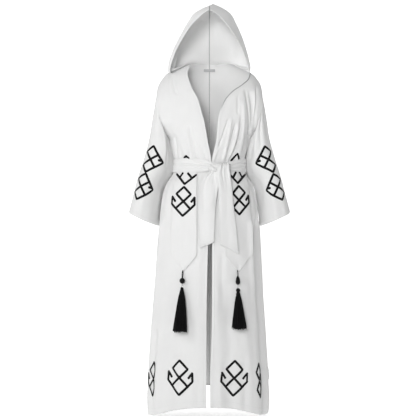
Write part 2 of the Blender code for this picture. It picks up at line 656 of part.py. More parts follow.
def make_belt():
    """The belt: a band round the waist, narrower where it runs into the knot, and its two ends."""
    angle = np.linspace(-180, 180, 44, endpoint=False)
    near_knot = np.exp(-((angle - KNOT_ANGLE) / KNOT_REACH)**2)
    height = BELT_HEIGHT * (1 - BAND_PINCH * near_knot)
    middle = BELT_Z - BAND_DIP * near_knot
    share = np.array([0.5, 0.18, -0.18, -0.5])
    z = middle[None, :] + height[None, :] * share[:, None]
    swell = BAND_LIFT + BAND_SWELL * (1 - (2 * share[:, None])**2) + BAND_GATHER * near_knot[None, :]
    angles = np.broadcast_to(angle[None, :], z.shape)
    wall("belt_band", belt_skin(angles, z, swell + WALL), belt_skin(angles, z, swell), round_columns=True)
    make_knot()
    make_belt_end("belt_end_right", RIGHT_END, RIGHT_END_CORNERS, (0.0035, 2.0, 0.6))
    make_belt_end("belt_end_left", LEFT_END, LEFT_END_CORNERS, (0.0040, 2.5, 0.2))


def make_knot():
    """The knot: sections across it with three soft lobes of folded cloth each, flat against the band."""
    around = np.linspace(0, 2 * math.pi, 14, endpoint=False)
    seat = front_skin(KNOT["x"], KNOT["z"], 0.0)[:, 1] - KNOT_SEAT - KNOT["half_depth"]
    rings = []
    for x, z, half_height, half_depth, y in zip(*KNOT.values(), seat):
        lobes = 1 + 0.10 * np.cos(3 * around + 60 * x)
        height = z + half_height * np.sin(around) * lobes
        band = front_skin(np.full_like(around, x), height, 0.0)[:, 1] - KNOT_SEAT
        depth = np.minimum(y - half_depth * np.cos(around) * lobes, band)
        rings.append(np.stack([np.full_like(around, x), depth, height], axis=-1))
    solid_loft("belt_knot", loft(rings, np.linspace(0, 1, 13)), MUSLIN)


def solid_loft(name, rings, finish):
    """A closed solid through rings of points, with a flat fan at each end."""
    count, size = rings.shape[:2]
    points = np.concatenate([rings.reshape(-1, 3), rings[0].mean(axis=0)[None], rings[-1].mean(axis=0)[None]])
    first, last = len(points) - 2, len(points) - 1
    faces = []
    for r in range(count - 1):
        for c in range(size):
            a, b = r * size + c, r * size + (c + 1) % size
            faces.append((a, b, b + size, a + size))
    for c in range(size):
        faces.append((first, (c + 1) % size, c))
        faces.append((last, (count - 1) * size + c, (count - 1) * size + (c + 1) % size))
    return closed_mesh(name, points, faces, finish)


def make_belt_end(name, outline, corners, wave):
    """One hanging end of the belt: a strip with soft lengthwise waves and a slanted cut."""
    u = np.linspace(0, 1, 8)
    v = np.linspace(0, 1, 11)[:, None]
    bottom = corners[0] + (corners[1] - corners[0]) * u[None, :]
    z = outline["z"][0] + (bottom - outline["z"][0]) * v
    left, right = read(outline, "left", z), read(outline, "right", z)
    x = left + (right - left) * u[None, :]
    size, turns, phase = wave
    lift = read(outline, "stand_off", z) + size * np.sin(2 * math.pi * (turns * u[None, :] + phase + 0.25 * v))
    wall(name, front_skin(x, z, lift + WALL), front_skin(x, z, lift))


def turned(name, profile, finish, place, sides=12):
    """A turned solid: a profile of radius and height turned round the upright axis."""
    around = np.linspace(0, 2 * math.pi, sides, endpoint=False)
    radius, height = np.array(profile, float).T
    rings = np.stack([radius[:, None] * np.cos(around), radius[:, None] * np.sin(around),
                      np.broadcast_to(height[:, None], (len(radius), sides))], axis=-1)
    return solid_loft(name, rings + np.asarray(place), finish)


def make_tassels():
    """From each tab's tip: a cord loop, a bead, a thin link, and the tassel with its strands."""
    for side, loop, bead_height, bead_width, link, knot, length in zip(*TASSELS.values()):
        word = "right" if side < 0 else "left"
        x = TAB_CENTRE + side * TAB_TIP_X
        tip = front_skin(x, TAB_TIP_Z, 0.0)
        foot = front_skin(x, TAB_TIP_Z - loop - 2 * bead_height - link - length, 0.0)
        total = loop + 2 * bead_height + link + length

        def hang(drop):
            """A point on the tassel's line, which lies on the skirt and leans out with it as it drops."""
            share = drop / total
            clear = np.interp(share, (0, 0.12, 1), (0.0032, TASSEL_BEAD_CLEAR, TASSEL_FOOT_CLEAR))
            return np.array([x, tip[1] + (foot[1] - tip[1]) * share - clear, tip[2] - drop])

        bead_place = hang(loop + bead_height)
        to_end = np.array([0, 0, bead_height + 2 * SEAM])
        upright = np.array([0, 0, 0.004])
        rod(f"tassel_{word}_loop", [hang(SEAM), bead_place + to_end + upright, bead_place + to_end],
            LOOP_RADIUS, SILK_BLACK)
        bead = [(max(bead_width * math.sin(a), 0.0008), -bead_height * math.cos(a))
                for a in np.linspace(0.08, math.pi - 0.08, 9)]
        if knot:
            bead = [(r * (0.62 + 0.38 * (bead_height - h) / (2 * bead_height)), h) for r, h in bead]
        turned(f"tassel_{word}_bead", bead, SILK_BLACK, bead_place, 14)
        link_top = loop + 2 * bead_height
        tassel_top = hang(link_top + link) + [0, 0, SEAM]
        rod(f"tassel_{word}_link", [bead_place - to_end, bead_place - to_end - upright,
                                    tassel_top + upright, tassel_top], LINK_RADIUS, LINK_METAL)
        make_tassel(f"tassel_{word}", hang, link_top + link, knot, length)


def rod(name, route, radius, finish):
    """A thin rod or cord along a short route."""
    curve = bpy.data.curves.new(name, "CURVE")
    curve.dimensions = "3D"
    curve.bevel_depth = radius
    curve.bevel_resolution = 2
    curve.use_fill_caps = True
    spline = curve.splines.new("POLY")
    spline.points.add(len(route) - 1)
    for point, place in zip(spline.points, route):
        point.co = (*place, 1)
    source = bpy.data.objects.new(name + "_route", curve)
    garment.objects.link(source)
    evaluated = source.evaluated_get(bpy.context.evaluated_depsgraph_get())
    mesh = bpy.data.meshes.new_from_object(evaluated)
    bpy.data.objects.remove(source)
    form = bmesh.new()
    form.from_mesh(mesh)
    bmesh.ops.remove_doubles(form, verts=form.verts, dist=0.00005)
    form.to_mesh(mesh)
    form.free()
    mesh.materials.clear()
    return new_object(name, mesh, finish)


def make_tassel(name, hang, top, knot, length):
    """A tassel: a wound head whose flat underside carries the separate strands."""
    sides = 10
    head = HEAD_LENGTH
    around = np.linspace(0, 2 * math.pi, sides, endpoint=False)
    profile = [(0.0010, 0.0), (0.0035, 0.002), (0.0060, 0.008), (0.0075, 0.016), (TASSEL_TOP_RADIUS, head)]
    if knot:
        ball = [(knot * math.sin(a), knot - knot * math.cos(a)) for a in np.linspace(0.15, 2.5, 6)]
        profile = ball + [(0.0045, 2 * knot), (0.0065, 2 * knot + 0.006), (0.0080, 0.024),
                          (TASSEL_TOP_RADIUS, head)]
    ring_radii = (TASSEL_TOP_RADIUS, 0.0058, 0.0030)
    points, faces = [], []
    for radius, drop in profile:
        centre = hang(top + drop)
        for a in around:
            points.append(centre + [radius * math.cos(a), radius * math.sin(a), 0])
    for r in range(len(profile) - 1):
        for c in range(sides):
            a, b = r * sides + c, r * sides + (c + 1) % sides
            faces.append((a, b, b + sides, a + sides))
    points.append(hang(top))
    for c in range(sides):
        faces.append((len(points) - 1, (c + 1) % sides, c))
    under = hang(top + head)
    rim = (len(profile) - 1) * sides
    strand_rings = [rim]
    for radius in ring_radii[1:]:
        strand_rings.append(len(points))
        for a in around:
            points.append(under + [radius * math.cos(a), radius * math.sin(a), 0])
    for outer_ring, inner_ring in zip(strand_rings, strand_rings[1:]):
        for c in range(sides):
            corners = [outer_ring + c, outer_ring + (c + 1) % sides, inner_ring + (c + 1) % sides,
                       inner_ring + c]
            add_strand(points, faces, corners, hang, top, head, length)
    middle = len(points)
    points.append(under)
    inner_ring = strand_rings[-1]
    for c in range(sides):
        corners = [inner_ring + c, inner_ring + (c + 1) % sides, middle]
        add_strand(points, faces, corners, hang, top, head, length)
    closed_mesh(name, points, faces, SILK_BLACK)


def add_strand(points, faces, corners, hang, top, head, length):
    """A strand on one cell of the head's underside: the cell keeps a rim, and its middle is drawn down
    to the tassel's foot, where the strands stand further apart."""
    cell = np.array([points[i] for i in corners])
    root = cell.mean(axis=0)
    small = root + (cell - root) * STRAND_SIZE
    first = len(points)
    points.extend(small)
    count = len(corners)
    for k in range(count):
        faces.append((corners[k], corners[(k + 1) % count], first + (k + 1) % count, first + k))
    spread = TASSEL_FOOT_RADIUS / TASSEL_TOP_RADIUS
    for share, growth in ((0.45, 1.0 + (spread - 1) * 0.52), (1.0, spread)):
        axis = hang(top + head + (length - head) * share)
        offset = (root - hang(top + head)) * growth
        size = 1.0 + (growth - 1) * STRAND_GROWTH
        level = axis + offset + (small - root) * size
        start = len(points)
        points.extend(level)
        previous = start - count
        for k in range(count):
            faces.append((previous + k, previous + (k + 1) % count, start + (k + 1) % count, start + k))
    faces.append(tuple(range(len(points) - count, len(points))))


def make_label():
    """The small blank woven label, on the inside of the back just under the neck seam."""
    x = np.linspace(-LABEL_WIDTH / 2, LABEL_WIDTH / 2, 7)
    rows = (LABEL_DROP + np.array([-LABEL_HEIGHT / 2, LABEL_HEIGHT / 2])) / (SHOULDER["z"][0] - UNDERARM_Z)
    half, _, _ = body_frame(rows, np.full(2, UNDERARM_Z), 1)
    across = np.degrees(np.arcsin(np.abs(x)[None, :] / half[:, None]))
    row = np.broadcast_to(rows[:, None], across.shape)
    bare = lambda a, b: body(1, 1, a, b, False)
    points = bare(across, row)
    normal = normals(bare, across, row, 0.5, 0.004, (90, 2))
    for array in (points, normal):
        array[..., 0] = np.abs(array[..., 0]) * np.sign(x)[None, :]
    near = points - normal * (WALL + LABEL_GAP)
    wall("neck_label", near, near - normal * 0.0008)


for old in list(bpy.data.objects):
    bpy.data.objects.remove(old, do_unlink=True)
garment = bpy.data.collections.new("muslin_kaftan")
bpy.context.scene.collection.children.link(garment)
make_body()
make_sleeves()
make_hood()
make_tabs()
make_belt()
make_tassels()
make_label()
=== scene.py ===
"""Muslin kaftan, dressed: white double gauze with a hood, wide sleeves, a knotted tie belt, two pointed
front tabs with black tassels, and diamond motifs in black thread. Metres, +Z up, the front faces -Y."""
import math

import bpy
import numpy as np
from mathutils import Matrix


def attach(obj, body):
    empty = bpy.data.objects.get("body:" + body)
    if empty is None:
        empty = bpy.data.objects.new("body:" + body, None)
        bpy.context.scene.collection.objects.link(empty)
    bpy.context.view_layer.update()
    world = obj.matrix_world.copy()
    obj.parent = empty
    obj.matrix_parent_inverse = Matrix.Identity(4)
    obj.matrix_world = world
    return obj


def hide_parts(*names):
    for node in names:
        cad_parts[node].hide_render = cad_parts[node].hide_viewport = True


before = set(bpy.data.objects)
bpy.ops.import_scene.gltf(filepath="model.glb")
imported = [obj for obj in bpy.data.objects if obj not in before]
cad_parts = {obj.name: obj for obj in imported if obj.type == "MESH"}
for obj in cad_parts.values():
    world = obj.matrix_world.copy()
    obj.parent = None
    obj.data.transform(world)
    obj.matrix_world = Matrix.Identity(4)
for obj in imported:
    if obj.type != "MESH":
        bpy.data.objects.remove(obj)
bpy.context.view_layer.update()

# Body panels. Two fronts and two back halves of white double gauze, cut long and wide and drawn in by the
# belt. They are sewn at the shoulders, the sides and the centre back; front edges and hem are turned in.
CLOTH = 0.0010           # thickness of the double gauze
UNDERARM_Z = -0.250
HEM_Z = -1.364
HEM_RISE = 0.060
SECTION_POWER = 0.85     # below 1 the section is squarer than an ellipse
DOME_ROUNDNESS = {"front": 2.3, "back": 2.0}
NECK_DEPTH = 0.075
NECK_HALF = 0.105
SEAM_GAP = 0.00015       # half the gap that two sewn pieces leave between them
SEAM_DIP = 0.0010        # how far the cloth dips along a seam
SEAM_WIDTH = 0.0030
THINNEST = 0.0006
ALLOWANCE = 0.0100       # width of the seam allowance, felled on the inside
HEM_CURL = 0.0028        # how far a hem's last few millimetres roll in
HEM_CURL_WIDTH = 0.0070
LAYER = 0.0007           # the extra layer of an allowance or a turned hem
FRONT_HEM = 0.012
SKIRT_HEM = 0.028
HEM_ROLL = 0.0050        # how far the skirt's foot draws in
HEM_ROLL_HEIGHT = 0.060
LAYER_SLOPE = 0.0015     # how wide the step is at an inner layer's edge
HEM_SLOPE = 0.0018
PAST_HEM = 1.02          # rows may run this far past the hem
BODY_CRUMPLE = 0.0009
ANGLE_STEP = 0.5         # small differences that give the body's normals
ROW_STEP = 0.004


def columns(names, *rows):
    """A short table: one array for each named column, with one row for each section or fold."""
    values = np.array(rows, float)
    return {name: values[:, index] for index, name in enumerate(names.split())}


def read(table, name, at, by="z"):
    """One column of a table at the places given, on a cubic curve that never overshoots its rows."""
    knots, values = table[by], table[name]
    if knots[0] > knots[-1]:
        knots, values = knots[::-1], values[::-1]
    steps = np.diff(knots)
    slopes = np.diff(values) / steps
    before, after = slopes[:-1], slopes[1:]
    same_way = before * after > 0
    total = np.where(same_way, before + after, 1.0)
    inner = np.where(same_way, 2 * before * after / total, 0.0)
    tangents = np.concatenate([[slopes[0]], inner, [slopes[-1]]])
    at = np.clip(at, knots[0], knots[-1])
    cell = np.clip(np.searchsorted(knots, at) - 1, 0, len(steps) - 1)
    width = steps[cell]
    s = (at - knots[cell]) / width
    return ((2 * s**3 - 3 * s**2 + 1) * values[cell] + (s**3 - 2 * s**2 + s) * width * tangents[cell]
            + (3 * s**2 - 2 * s**3) * values[cell + 1] + (s**3 - s**2) * width * tangents[cell + 1])


def smooth(value):
    """0 below 0, 1 above 1, with an even start and end: 3 v squared less 2 v cubed."""
    value = np.clip(value, 0, 1)
    return value * value * (3 - 2 * value)


def bell(distance, width):
    """1 in the middle, falling to both sides: e to the power of less (distance over width) squared."""
    return np.exp(-(distance / width)**2)


BODY = columns(
    "z half_width centre_x front back",
    (-0.25, 0.166, 0.002, 0.122, 0.098),
    (-0.3, 0.157, 0.002, 0.117, 0.092),
    (-0.33, 0.148, 0.002, 0.107, 0.086),
    (-0.359, 0.144, 0.001, 0.101, 0.083),
    (-0.388, 0.148, 0, 0.105, 0.088),
    (-0.435, 0.176, -0.001, 0.119, 0.107),
    (-0.5, 0.194, -0.001, 0.13, 0.128),
    (-0.611, 0.204, -0.003, 0.14, 0.143),
    (-0.705, 0.211, -0.004, 0.147, 0.15),
    (-0.869, 0.2215, -0.006, 0.157, 0.162),
    (-1.095, 0.238, -0.008, 0.173, 0.18),
    (-1.364, 0.2525, -0.007, 0.19, 0.198),
)
SHOULDER = columns(
    "x z",
    (0, 0.063),
    (0.078, 0.062),
    (0.12, 0.045),
    (0.158, 0.027),
    (0.178, 0.014),
    (0.195, -0.006),
    (0.209, -0.03),
    (0.215, -0.054),
    (0.218, -0.08),
)
ARMHOLE = columns(
    "t x share",
    (0, 0.218, 0.66),
    (0.28, 0.2145, 0.66),
    (0.5, 0.208, 0.63),
    (0.73, 0.197, 0.55),
    (0.9, 0.181, 0.36),
    (0.97, 0.171, 0.2),
    (1, 0.166, 0),
)
RIGHT_EDGE = columns(
    "z x",
    (0.048, -0.077),
    (0.016, -0.088),
    (-0.048, -0.0715),
    (-0.097, -0.046),
    (-0.149, -0.031),
    (-0.189, -0.0203),
    (-0.26, -0.0078),
    (-0.352, 0.0075),
    (-0.42, 0.004),
    (-0.735, -0.0075),
    (-0.972, -0.012),
    (-1.364, -0.013),
)
LEFT_EDGE = columns(
    "z x",
    (0.0225, 0.166),
    (-0.015, 0.156),
    (-0.045, 0.134),
    (-0.086, 0.092),
    (-0.119, 0.061),
    (-0.14, 0.05),
    (-0.182, 0.035),
    (-0.26, 0.0265),
    (-0.352, 0.009),
    (-0.42, 0.0095),
    (-0.735, 0.01),
    (-0.972, 0.009),
    (-1.238, 0.0016),
    (-1.364, 0.0034),
)
RIGHT_TOP = columns(
    "x z stand_off",
    (0, 0.048, 0.036),
    (0.077, 0.048, 0.036),
    (0.12, 0.03, 0.036),
    (0.15, 0.015, 0.033),
    (0.159, 0.015, 0.024),
    (0.168, 0.0207, 0),
    (0.178, 0.014, 0),
    (0.195, -0.006, 0),
    (0.209, -0.03, 0),
    (0.215, -0.054, 0),
    (0.218, -0.08, 0),
)
# Long folds round the body, by angle from the centre front, positive to the wearer's left.
FOLDS = columns(
    "z_top angle_top z_bottom angle_bottom width depth",
    (-0.2, -160, -0.345, -158, 5, -0.005),
    (-0.16, -138, -0.345, -142, 5, -0.006),
    (-0.22, -118, -0.345, -121, 5, 0.005),
    (-0.18, 163, -0.345, 160, 5, -0.005),
    (-0.15, 142, -0.345, 146, 4.5, -0.0065),
    (-0.21, 124, -0.345, 128, 5, 0.005),
    (-0.23, 152, -0.345, 154, 3, 0.004),
    (-0.23, -150, -0.345, -151, 3, 0.004),
    (-0.26, 174, -0.345, 173, 2.5, -0.003),
    (-0.26, -172, -0.345, -170, 2.5, -0.003),
    (-0.38, -8, -0.56, -7, 3.5, -0.004),
    (-0.38, -76, -0.6, -74, 5, -0.005),
    (-0.38, 8, -0.56, 8, 3.5, -0.004),
    (-0.38, 77, -0.62, 75, 5, -0.0055),
    (-0.37, 150, -0.64, 152, 5, -0.006),
    (-0.37, 118, -0.62, 116, 6, -0.0055),
    (-0.37, -146, -0.66, -150, 5, -0.006),
    (-0.37, -115, -0.62, -112, 6, -0.0055),
    (-0.372, 163, -0.56, 164, 3, 0.004),
    (-0.372, 137, -0.58, 136, 3, 0.004),
    (-0.372, -161, -0.56, -163, 3, 0.004),
    (-0.372, -130, -0.58, -130, 3, 0.004),
    (-0.64, -9, -1.5, -10, 6, 0.005),
    (-0.8, -36, -1.5, -40, 9, -0.008),
    (-0.56, -70, -1.5, -68, 8, 0.008),
    (-0.8, 20, -1.5, 22, 7, -0.007),
    (-0.8, 42, -1.5, 44, 8, 0.008),
    (-0.56, 73, -1.5, 70, 7, -0.008),
    (-0.56, 55, -1.5, 51, 5, 0.008),
    (-0.56, 64, -1.5, 67, 5, -0.009),
    (-1, -56, -1.5, -56, 3.5, 0.004),
    (-1, -62, -1.5, -64, 4.5, -0.008),
    (-0.56, 98, -1.5, 98, 9, 0.008),
    (-0.56, 126, -1.5, 124, 9, -0.012),
    (-0.56, 150, -1.5, 149, 8, 0.01),
    (-0.56, 172, -1.5, 172, 7, -0.009),
    (-0.56, -98, -1.5, -97, 9, -0.009),
    (-0.56, -122, -1.5, -124, 8, 0.011),
    (-0.56, -146, -1.5, -146, 8, -0.011),
    (-0.56, -166, -1.5, -165, 7, 0.008),
)
FOLD_FADE = 0.045
BELT_FADE = 0.012        # creases of the bodice run into the belt, those of the skirt die out softly
SKIRT_FADE = 0.090
BODICE_FOOT = -0.40      # creases that end above this height are the bodice's
# Creases on the two fronts, each on a smooth curve through three places.
CREASES = columns(
    "x_top z_top x_middle z_middle x_foot z_foot width depth",
    (0.0764, -0.17, 0.059, -0.226, 0.036, -0.29, 0.0038, -0.0072),
    (0.0895, -0.165, 0.073, -0.26, 0.054, -0.345, 0.0055, 0.005),
    (0.1055, -0.185, 0.0885, -0.262, 0.067, -0.345, 0.004, -0.0088),
    (0.1153, -0.175, 0.1014, -0.268, 0.0716, -0.345, 0.005, 0.0056),
    (0.1239, -0.16, 0.1131, -0.271, 0.074, -0.345, 0.0048, -0.0108),
    (0.133, -0.09, 0.135, -0.22, 0.11, -0.345, 0.0085, 0.0055),
    (0.139, -0.045, 0.16, -0.19, 0.144, -0.365, 0.0042, -0.008),
    (0.153, -0.045, 0.171, -0.12, 0.164, -0.23, 0.01, -0.01),
    (0.178, -0.04, 0.185, -0.16, 0.175, -0.3, 0.005, 0.0045),
    (0.19, -0.025, 0.1845, -0.16, 0.176, -0.3, 0.0038, -0.008),
    (0.1125, -0.065, 0.1125, -0.11, 0.1135, -0.16, 0.005, -0.0025),
    (0.04, -0.28, 0.028, -0.31, 0.018, -0.345, 0.0045, 0.003),
    (-0.0819, -0.19, -0.066, -0.27, -0.048, -0.345, 0.007, -0.0045),
    (-0.096, -0.2, -0.083, -0.28, -0.066, -0.345, 0.008, 0.003),
    (-0.03, -0.27, -0.022, -0.305, -0.013, -0.345, 0.005, -0.003),
    (-0.15, 0.015, -0.143, -0.03, -0.134, -0.08, 0.007, -0.0035),
    (-0.125, -0.27, -0.115, -0.31, -0.105, -0.35, 0.007, -0.0035),
    (-0.14, -0.225, -0.134, -0.29, -0.13, -0.35, 0.004, -0.005),
    (0.048, -0.69, 0.05, -0.79, 0.052, -0.93, 0.012, -0.003),
    (-0.025, -0.7, -0.027, -0.85, -0.032, -1, 0.012, -0.0025),
    (0.025, -0.68, 0.028, -0.86, 0.028, -1.05, 0.012, 0.0016),
    (-0.15, -0.42, -0.156, -0.52, -0.16, -0.64, 0.01, -0.0035),
    (0.156, -0.42, 0.168, -0.52, 0.175, -0.64, 0.01, -0.0045),
    (-0.115, -1.08, -0.118, -1.2, -0.12, -1.42, 0.018, 0.004),
    (0.135, -1.1, 0.138, -1.22, 0.14, -1.42, 0.015, -0.004),
    (-0.045, -1.12, -0.047, -1.24, -0.05, -1.42, 0.014, -0.0035),
    (0.04, -1.1, 0.042, -1.24, 0.043, -1.42, 0.012, 0.003),
)
# Waves of the crumpled gauze: waves per metre along X, Y and Z, the phase and the share.
CRUMPLE = columns(
    "x y z phase share",
    (11, 7, 3.1, 0.3, 0.4),
    (-9, 12, 5.3, 1.9, 0.3),
    (17, -14, 2.2, 4.1, 0.22),
    (23, 19, -7.9, 2.7, 0.16),
    (-29, 22, 12.7, 5.5, 0.1),
    (37, -31, 9.1, 0.9, 0.06),
)
YOKE_ROWS = np.concatenate([[1e-7, 0.0006, 0.0025, 0.006, 0.012, 0.020], np.linspace(0.03, 0.985, 52)])
SKIRT_ROWS = np.concatenate([np.linspace(0, 1 - SKIRT_HEM * 1.4 / (UNDERARM_Z - HEM_Z), 150),
                             1 - np.array([0.031, 0.028, 0.025, 0.016, 0.007, 0.003, 0.001, 0.0])
                             / (UNDERARM_Z - HEM_Z)])
EDGE_STEPS = np.array([0.0, 0.0010, 0.0028, 0.0055, 0.0085, 0.0108, 0.0128, 0.0165])


def crumple(points, size):
    """Soft uneven relief: a sum of sines of the place's dot products with each wave's direction."""
    total = np.zeros(points.shape[:-1])
    for x, y, z, phase, share in zip(*CRUMPLE.values()):
        total += share * np.sin(2 * math.pi * (x * points[..., 0] + y * points[..., 1] + z * points[..., 2])
                                + phase)
    return size * total


def dome(t, roundness):
    """0 on the shoulder line and 1 at the underarm, upright where it leaves the shoulder line."""
    return (1 - (1 - np.clip(t, 0, 1))**roundness)**(1 / roundness)


def body_frame(t, z, facing):
    """Half width of the full section, its depth and its middle: t serves the yoke, z all below it."""
    share = read(ARMHOLE, "share", t, "t")
    yoke_half = read(ARMHOLE, "x", t, "t") / np.sqrt(1 - share**(2 / SECTION_POWER))
    column = "front" if facing < 0 else "back"
    depth = read(BODY, column, z) * np.where(t < 1, dome(t, DOME_ROUNDNESS[column]), 1.0)
    half = np.where(t < 1, yoke_half, read(BODY, "half_width", z))
    centre = np.where(t < 1, BODY["centre_x"][0] * t, read(BODY, "centre_x", z))
    return half, depth, centre


def fold_lift(angle, points):
    """Height of all folds and creases: a bell across each one, faded in and out at its two ends."""
    x, z = points[..., 0], points[..., 2]
    total = crumple(points, BODY_CRUMPLE)
    for z_top, a_top, z_foot, a_foot, width, depth in zip(*FOLDS.values()):
        along = np.clip((z_top - z) / (z_top - z_foot), 0, 1)
        across = (angle - a_top - (a_foot - a_top) * along + 180) % 360 - 180
        fade = smooth((z_top - z) / FOLD_FADE) * smooth((z - z_foot) / FOLD_FADE)
        total += depth * bell(across, width) * fade
    for x0, z0, x1, z1, x2, z2, width, depth in zip(*CREASES.values()):
        line = (x0 * (z - z1) * (z - z2) / ((z0 - z1) * (z0 - z2))
                + x1 * (z - z0) * (z - z2) / ((z1 - z0) * (z1 - z2))
                + x2 * (z - z0) * (z - z1) / ((z2 - z0) * (z2 - z1)))
        ends = min(FOLD_FADE, 0.45 * (z0 - z2))
        fade = smooth((z0 - z) / ends) * smooth((z - z2) / (BELT_FADE if z2 > BODICE_FOOT else SKIRT_FADE))
        on_front = np.cos(np.radians(angle)) > 0
        total += np.where(on_front, depth * bell(x - line, width) * fade, 0.0)
    return total - HEM_ROLL * smooth((HEM_Z + HEM_ROLL_HEIGHT - z) / HEM_ROLL_HEIGHT)


def hem_rise(below, across):
    """How far the skirt is lifted towards the middle of the front and back, which hang shorter."""
    return HEM_RISE * below**3 * (1 - np.abs(np.sin(np.radians(across)))**2.5)**1.5


def row_at(z, across):
    """The row whose cloth lies at height z: a few steps settle how much the hem's rise adds there."""
    level = (UNDERARM_Z - z) / (UNDERARM_Z - HEM_Z)
    below = level
    for _ in range(6):
        below = level + hem_rise(np.clip(below, 0, PAST_HEM), across) / (UNDERARM_Z - HEM_Z)
    return 1 + below


def body(side, facing, across, row, folded=True):
    """Points of the body: a full, squarish ellipse at each height, drawn together towards the shoulders.
    across is 0 at the middle and 90 at the side; row is 0 on the shoulders, 1 at the underarm and 2 at
    the hem."""
    across, row = np.broadcast_arrays(np.asarray(across, float), np.asarray(row, float))
    t, below = np.clip(row, 0, 1), np.clip(row - 1, 0, PAST_HEM)
    level = UNDERARM_Z + (HEM_Z - UNDERARM_Z) * below
    half, depth, centre = body_frame(t, level, facing)
    wave = np.sin(np.radians(across))
    distance = half * wave
    rise = hem_rise(below, across)
    if facing < 0 and side < 0:
        top = read(RIGHT_TOP, "z", distance, "x")
        stand_off = read(RIGHT_TOP, "stand_off", distance, "x")
    elif facing < 0:
        top, stand_off = read(SHOULDER, "z", distance, "x"), 0.0
    else:
        top = read(SHOULDER, "z", distance, "x")
        stand_off = NECK_DEPTH * np.clip(1 - (distance / NECK_HALF)**2, 0, 1)**2
    z = np.where(row < 1, top + (UNDERARM_Z - top) * t, level + rise)
    flat = depth * np.cos(np.radians(across)).clip(0, 1)**SECTION_POWER
    y = facing * np.sqrt(flat**2 + (stand_off * (1 - t))**2)
    points = np.stack([centre + side * distance, y, z], axis=-1)
    if not folded:
        return points
    angle = side * across if facing < 0 else side * (180 - across)
    return points + body_normals(side, facing, across, row) * fold_lift(angle, points)[..., None]


def unit(vectors):
    """The vectors, each divided by its length."""
    return vectors / np.maximum(np.linalg.norm(vectors, axis=-1, keepdims=True), 1e-12)


def body_normals(side, facing, across, row):
    """Unit normals of the unfolded body, pointing out: the cross product of its two small differences."""
    a_up, a_down = np.minimum(across + ANGLE_STEP, 90), across - ANGLE_STEP
    r_up, r_down = np.minimum(row + ROW_STEP, 2), np.maximum(row - ROW_STEP, 0)
    return side * facing * unit(np.cross(
        body(side, facing, a_up, row, False) - body(side, facing, a_down, row, False),
        body(side, facing, across, r_up, False) - body(side, facing, across, r_down, False)))


def panel_grid(side, facing, edge, middle_columns):
    """Angles and rows of a panel, from its inner edge to the side or armhole, closer near both edges."""
    rows = np.concatenate([YOKE_ROWS, 1 + SKIRT_ROWS])[:, None]
    t = np.clip(rows, 0, 1)
    level = UNDERARM_Z + (HEM_Z - UNDERARM_Z) * np.clip(rows - 1, 0, 1)
    half, _, centre = body_frame(t, level, facing)
    if edge is None:
        inner = SEAM_GAP - side * centre
    else:
        top = edge["z"][0]
        height = np.where(rows < 1, top + (UNDERARM_Z - top) * t, level + HEM_RISE * (rows - 1).clip(0)**3)
        inner = side * (read(edge, "x", height) - centre)
    outer = np.where(rows < 1, read(ARMHOLE, "x", t, "t"), half)
    start = np.degrees(np.arcsin(np.clip(inner / half, -1, 1)))
    depth = read(BODY, "front", level)
    end = np.degrees(np.arcsin(np.clip(outer / half, -1, 1)) - SEAM_GAP / depth)
    near = start + np.degrees(EDGE_STEPS / half)
    far = end - np.degrees(EDGE_STEPS[::-1] / depth)
    share = np.linspace(0, 1, middle_columns + 2)[None, 1:-1]
    between = near[:, -1:] + (far[:, :1] - near[:, -1:]) * share
    across = np.concatenate([near, between, far], axis=1)
    return across, np.broadcast_to(rows, across.shape)


def lengths(points, axis=0):
    """Lengths from the first point of each line of points that runs along the axis given."""
    steps = np.cumsum(np.linalg.norm(np.diff(points, axis=axis), axis=-1), axis=axis)
    return np.concatenate([0 * np.take(steps, [0], axis=axis), steps], axis=axis)


def edge_distances(points):
    """Distances over the cloth from a grid's first and last column and its first and last row."""
    across, along = lengths(points, 1), lengths(points, 0)
    return {"inner": across, "outer": across[:, -1:] - across, "top": along, "foot": along[-1:] - along}


def sewn_skins(points, normal, seams, hems):
    """The outer and the inner skin of a cloth grid. A seam has its allowance inside, of the width given, and
    its edge dips by a bell, but not at the neck or shoulders. A hem is one layer thicker on both sides over
    its width, and the foot's hem rolls in."""
    distance = edge_distances(points)
    outer, inner = np.zeros(points.shape[:2]), np.full(points.shape[:2], -CLOTH)
    for side, width in seams.items():
        if side in ("inner", "outer") or len(seams) == 1:
            outer -= SEAM_DIP * bell(distance[side], SEAM_WIDTH)
        inner -= LAYER * smooth((width - distance[side]) / LAYER_SLOPE)
    for side, width in hems.items():
        step = LAYER / 2 * smooth((width - distance[side]) / HEM_SLOPE)
        outer, inner = outer + step, inner - step
    inner = np.minimum(inner, outer - THINNEST)
    if "foot" in hems:
        curl = HEM_CURL * np.clip(1 - distance["foot"] / HEM_CURL_WIDTH, 0, 1)**2
        outer, inner = outer - curl, inner - curl
    return points + normal * outer[..., None], points + normal * inner[..., None]


def grid_faces(index):
    """The four-cornered faces between the neighbours of a grid of point numbers."""
    corners = [index[..., :-1, :-1], index[..., :-1, 1:], index[..., 1:, 1:], index[..., 1:, :-1]]
    return np.stack(corners, -1).reshape(-1, 4)


def new_piece(name, points, faces, uv, finish):
    """A smooth piece on the garment's one body, with a UV place for each corner of its faces."""
    mesh = bpy.data.meshes.new(name)
    mesh.from_pydata(points.reshape(-1, 3).tolist(), [], faces)
    mesh.uv_layers.new(name="cloth").data.foreach_set("uv", uv.ravel().astype(np.float32))
    mesh.materials.append(finish)
    mesh.shade_smooth()
    piece = bpy.data.objects.new(name, mesh)
    bpy.context.scene.collection.objects.link(piece)
    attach(piece, "root")
    return piece


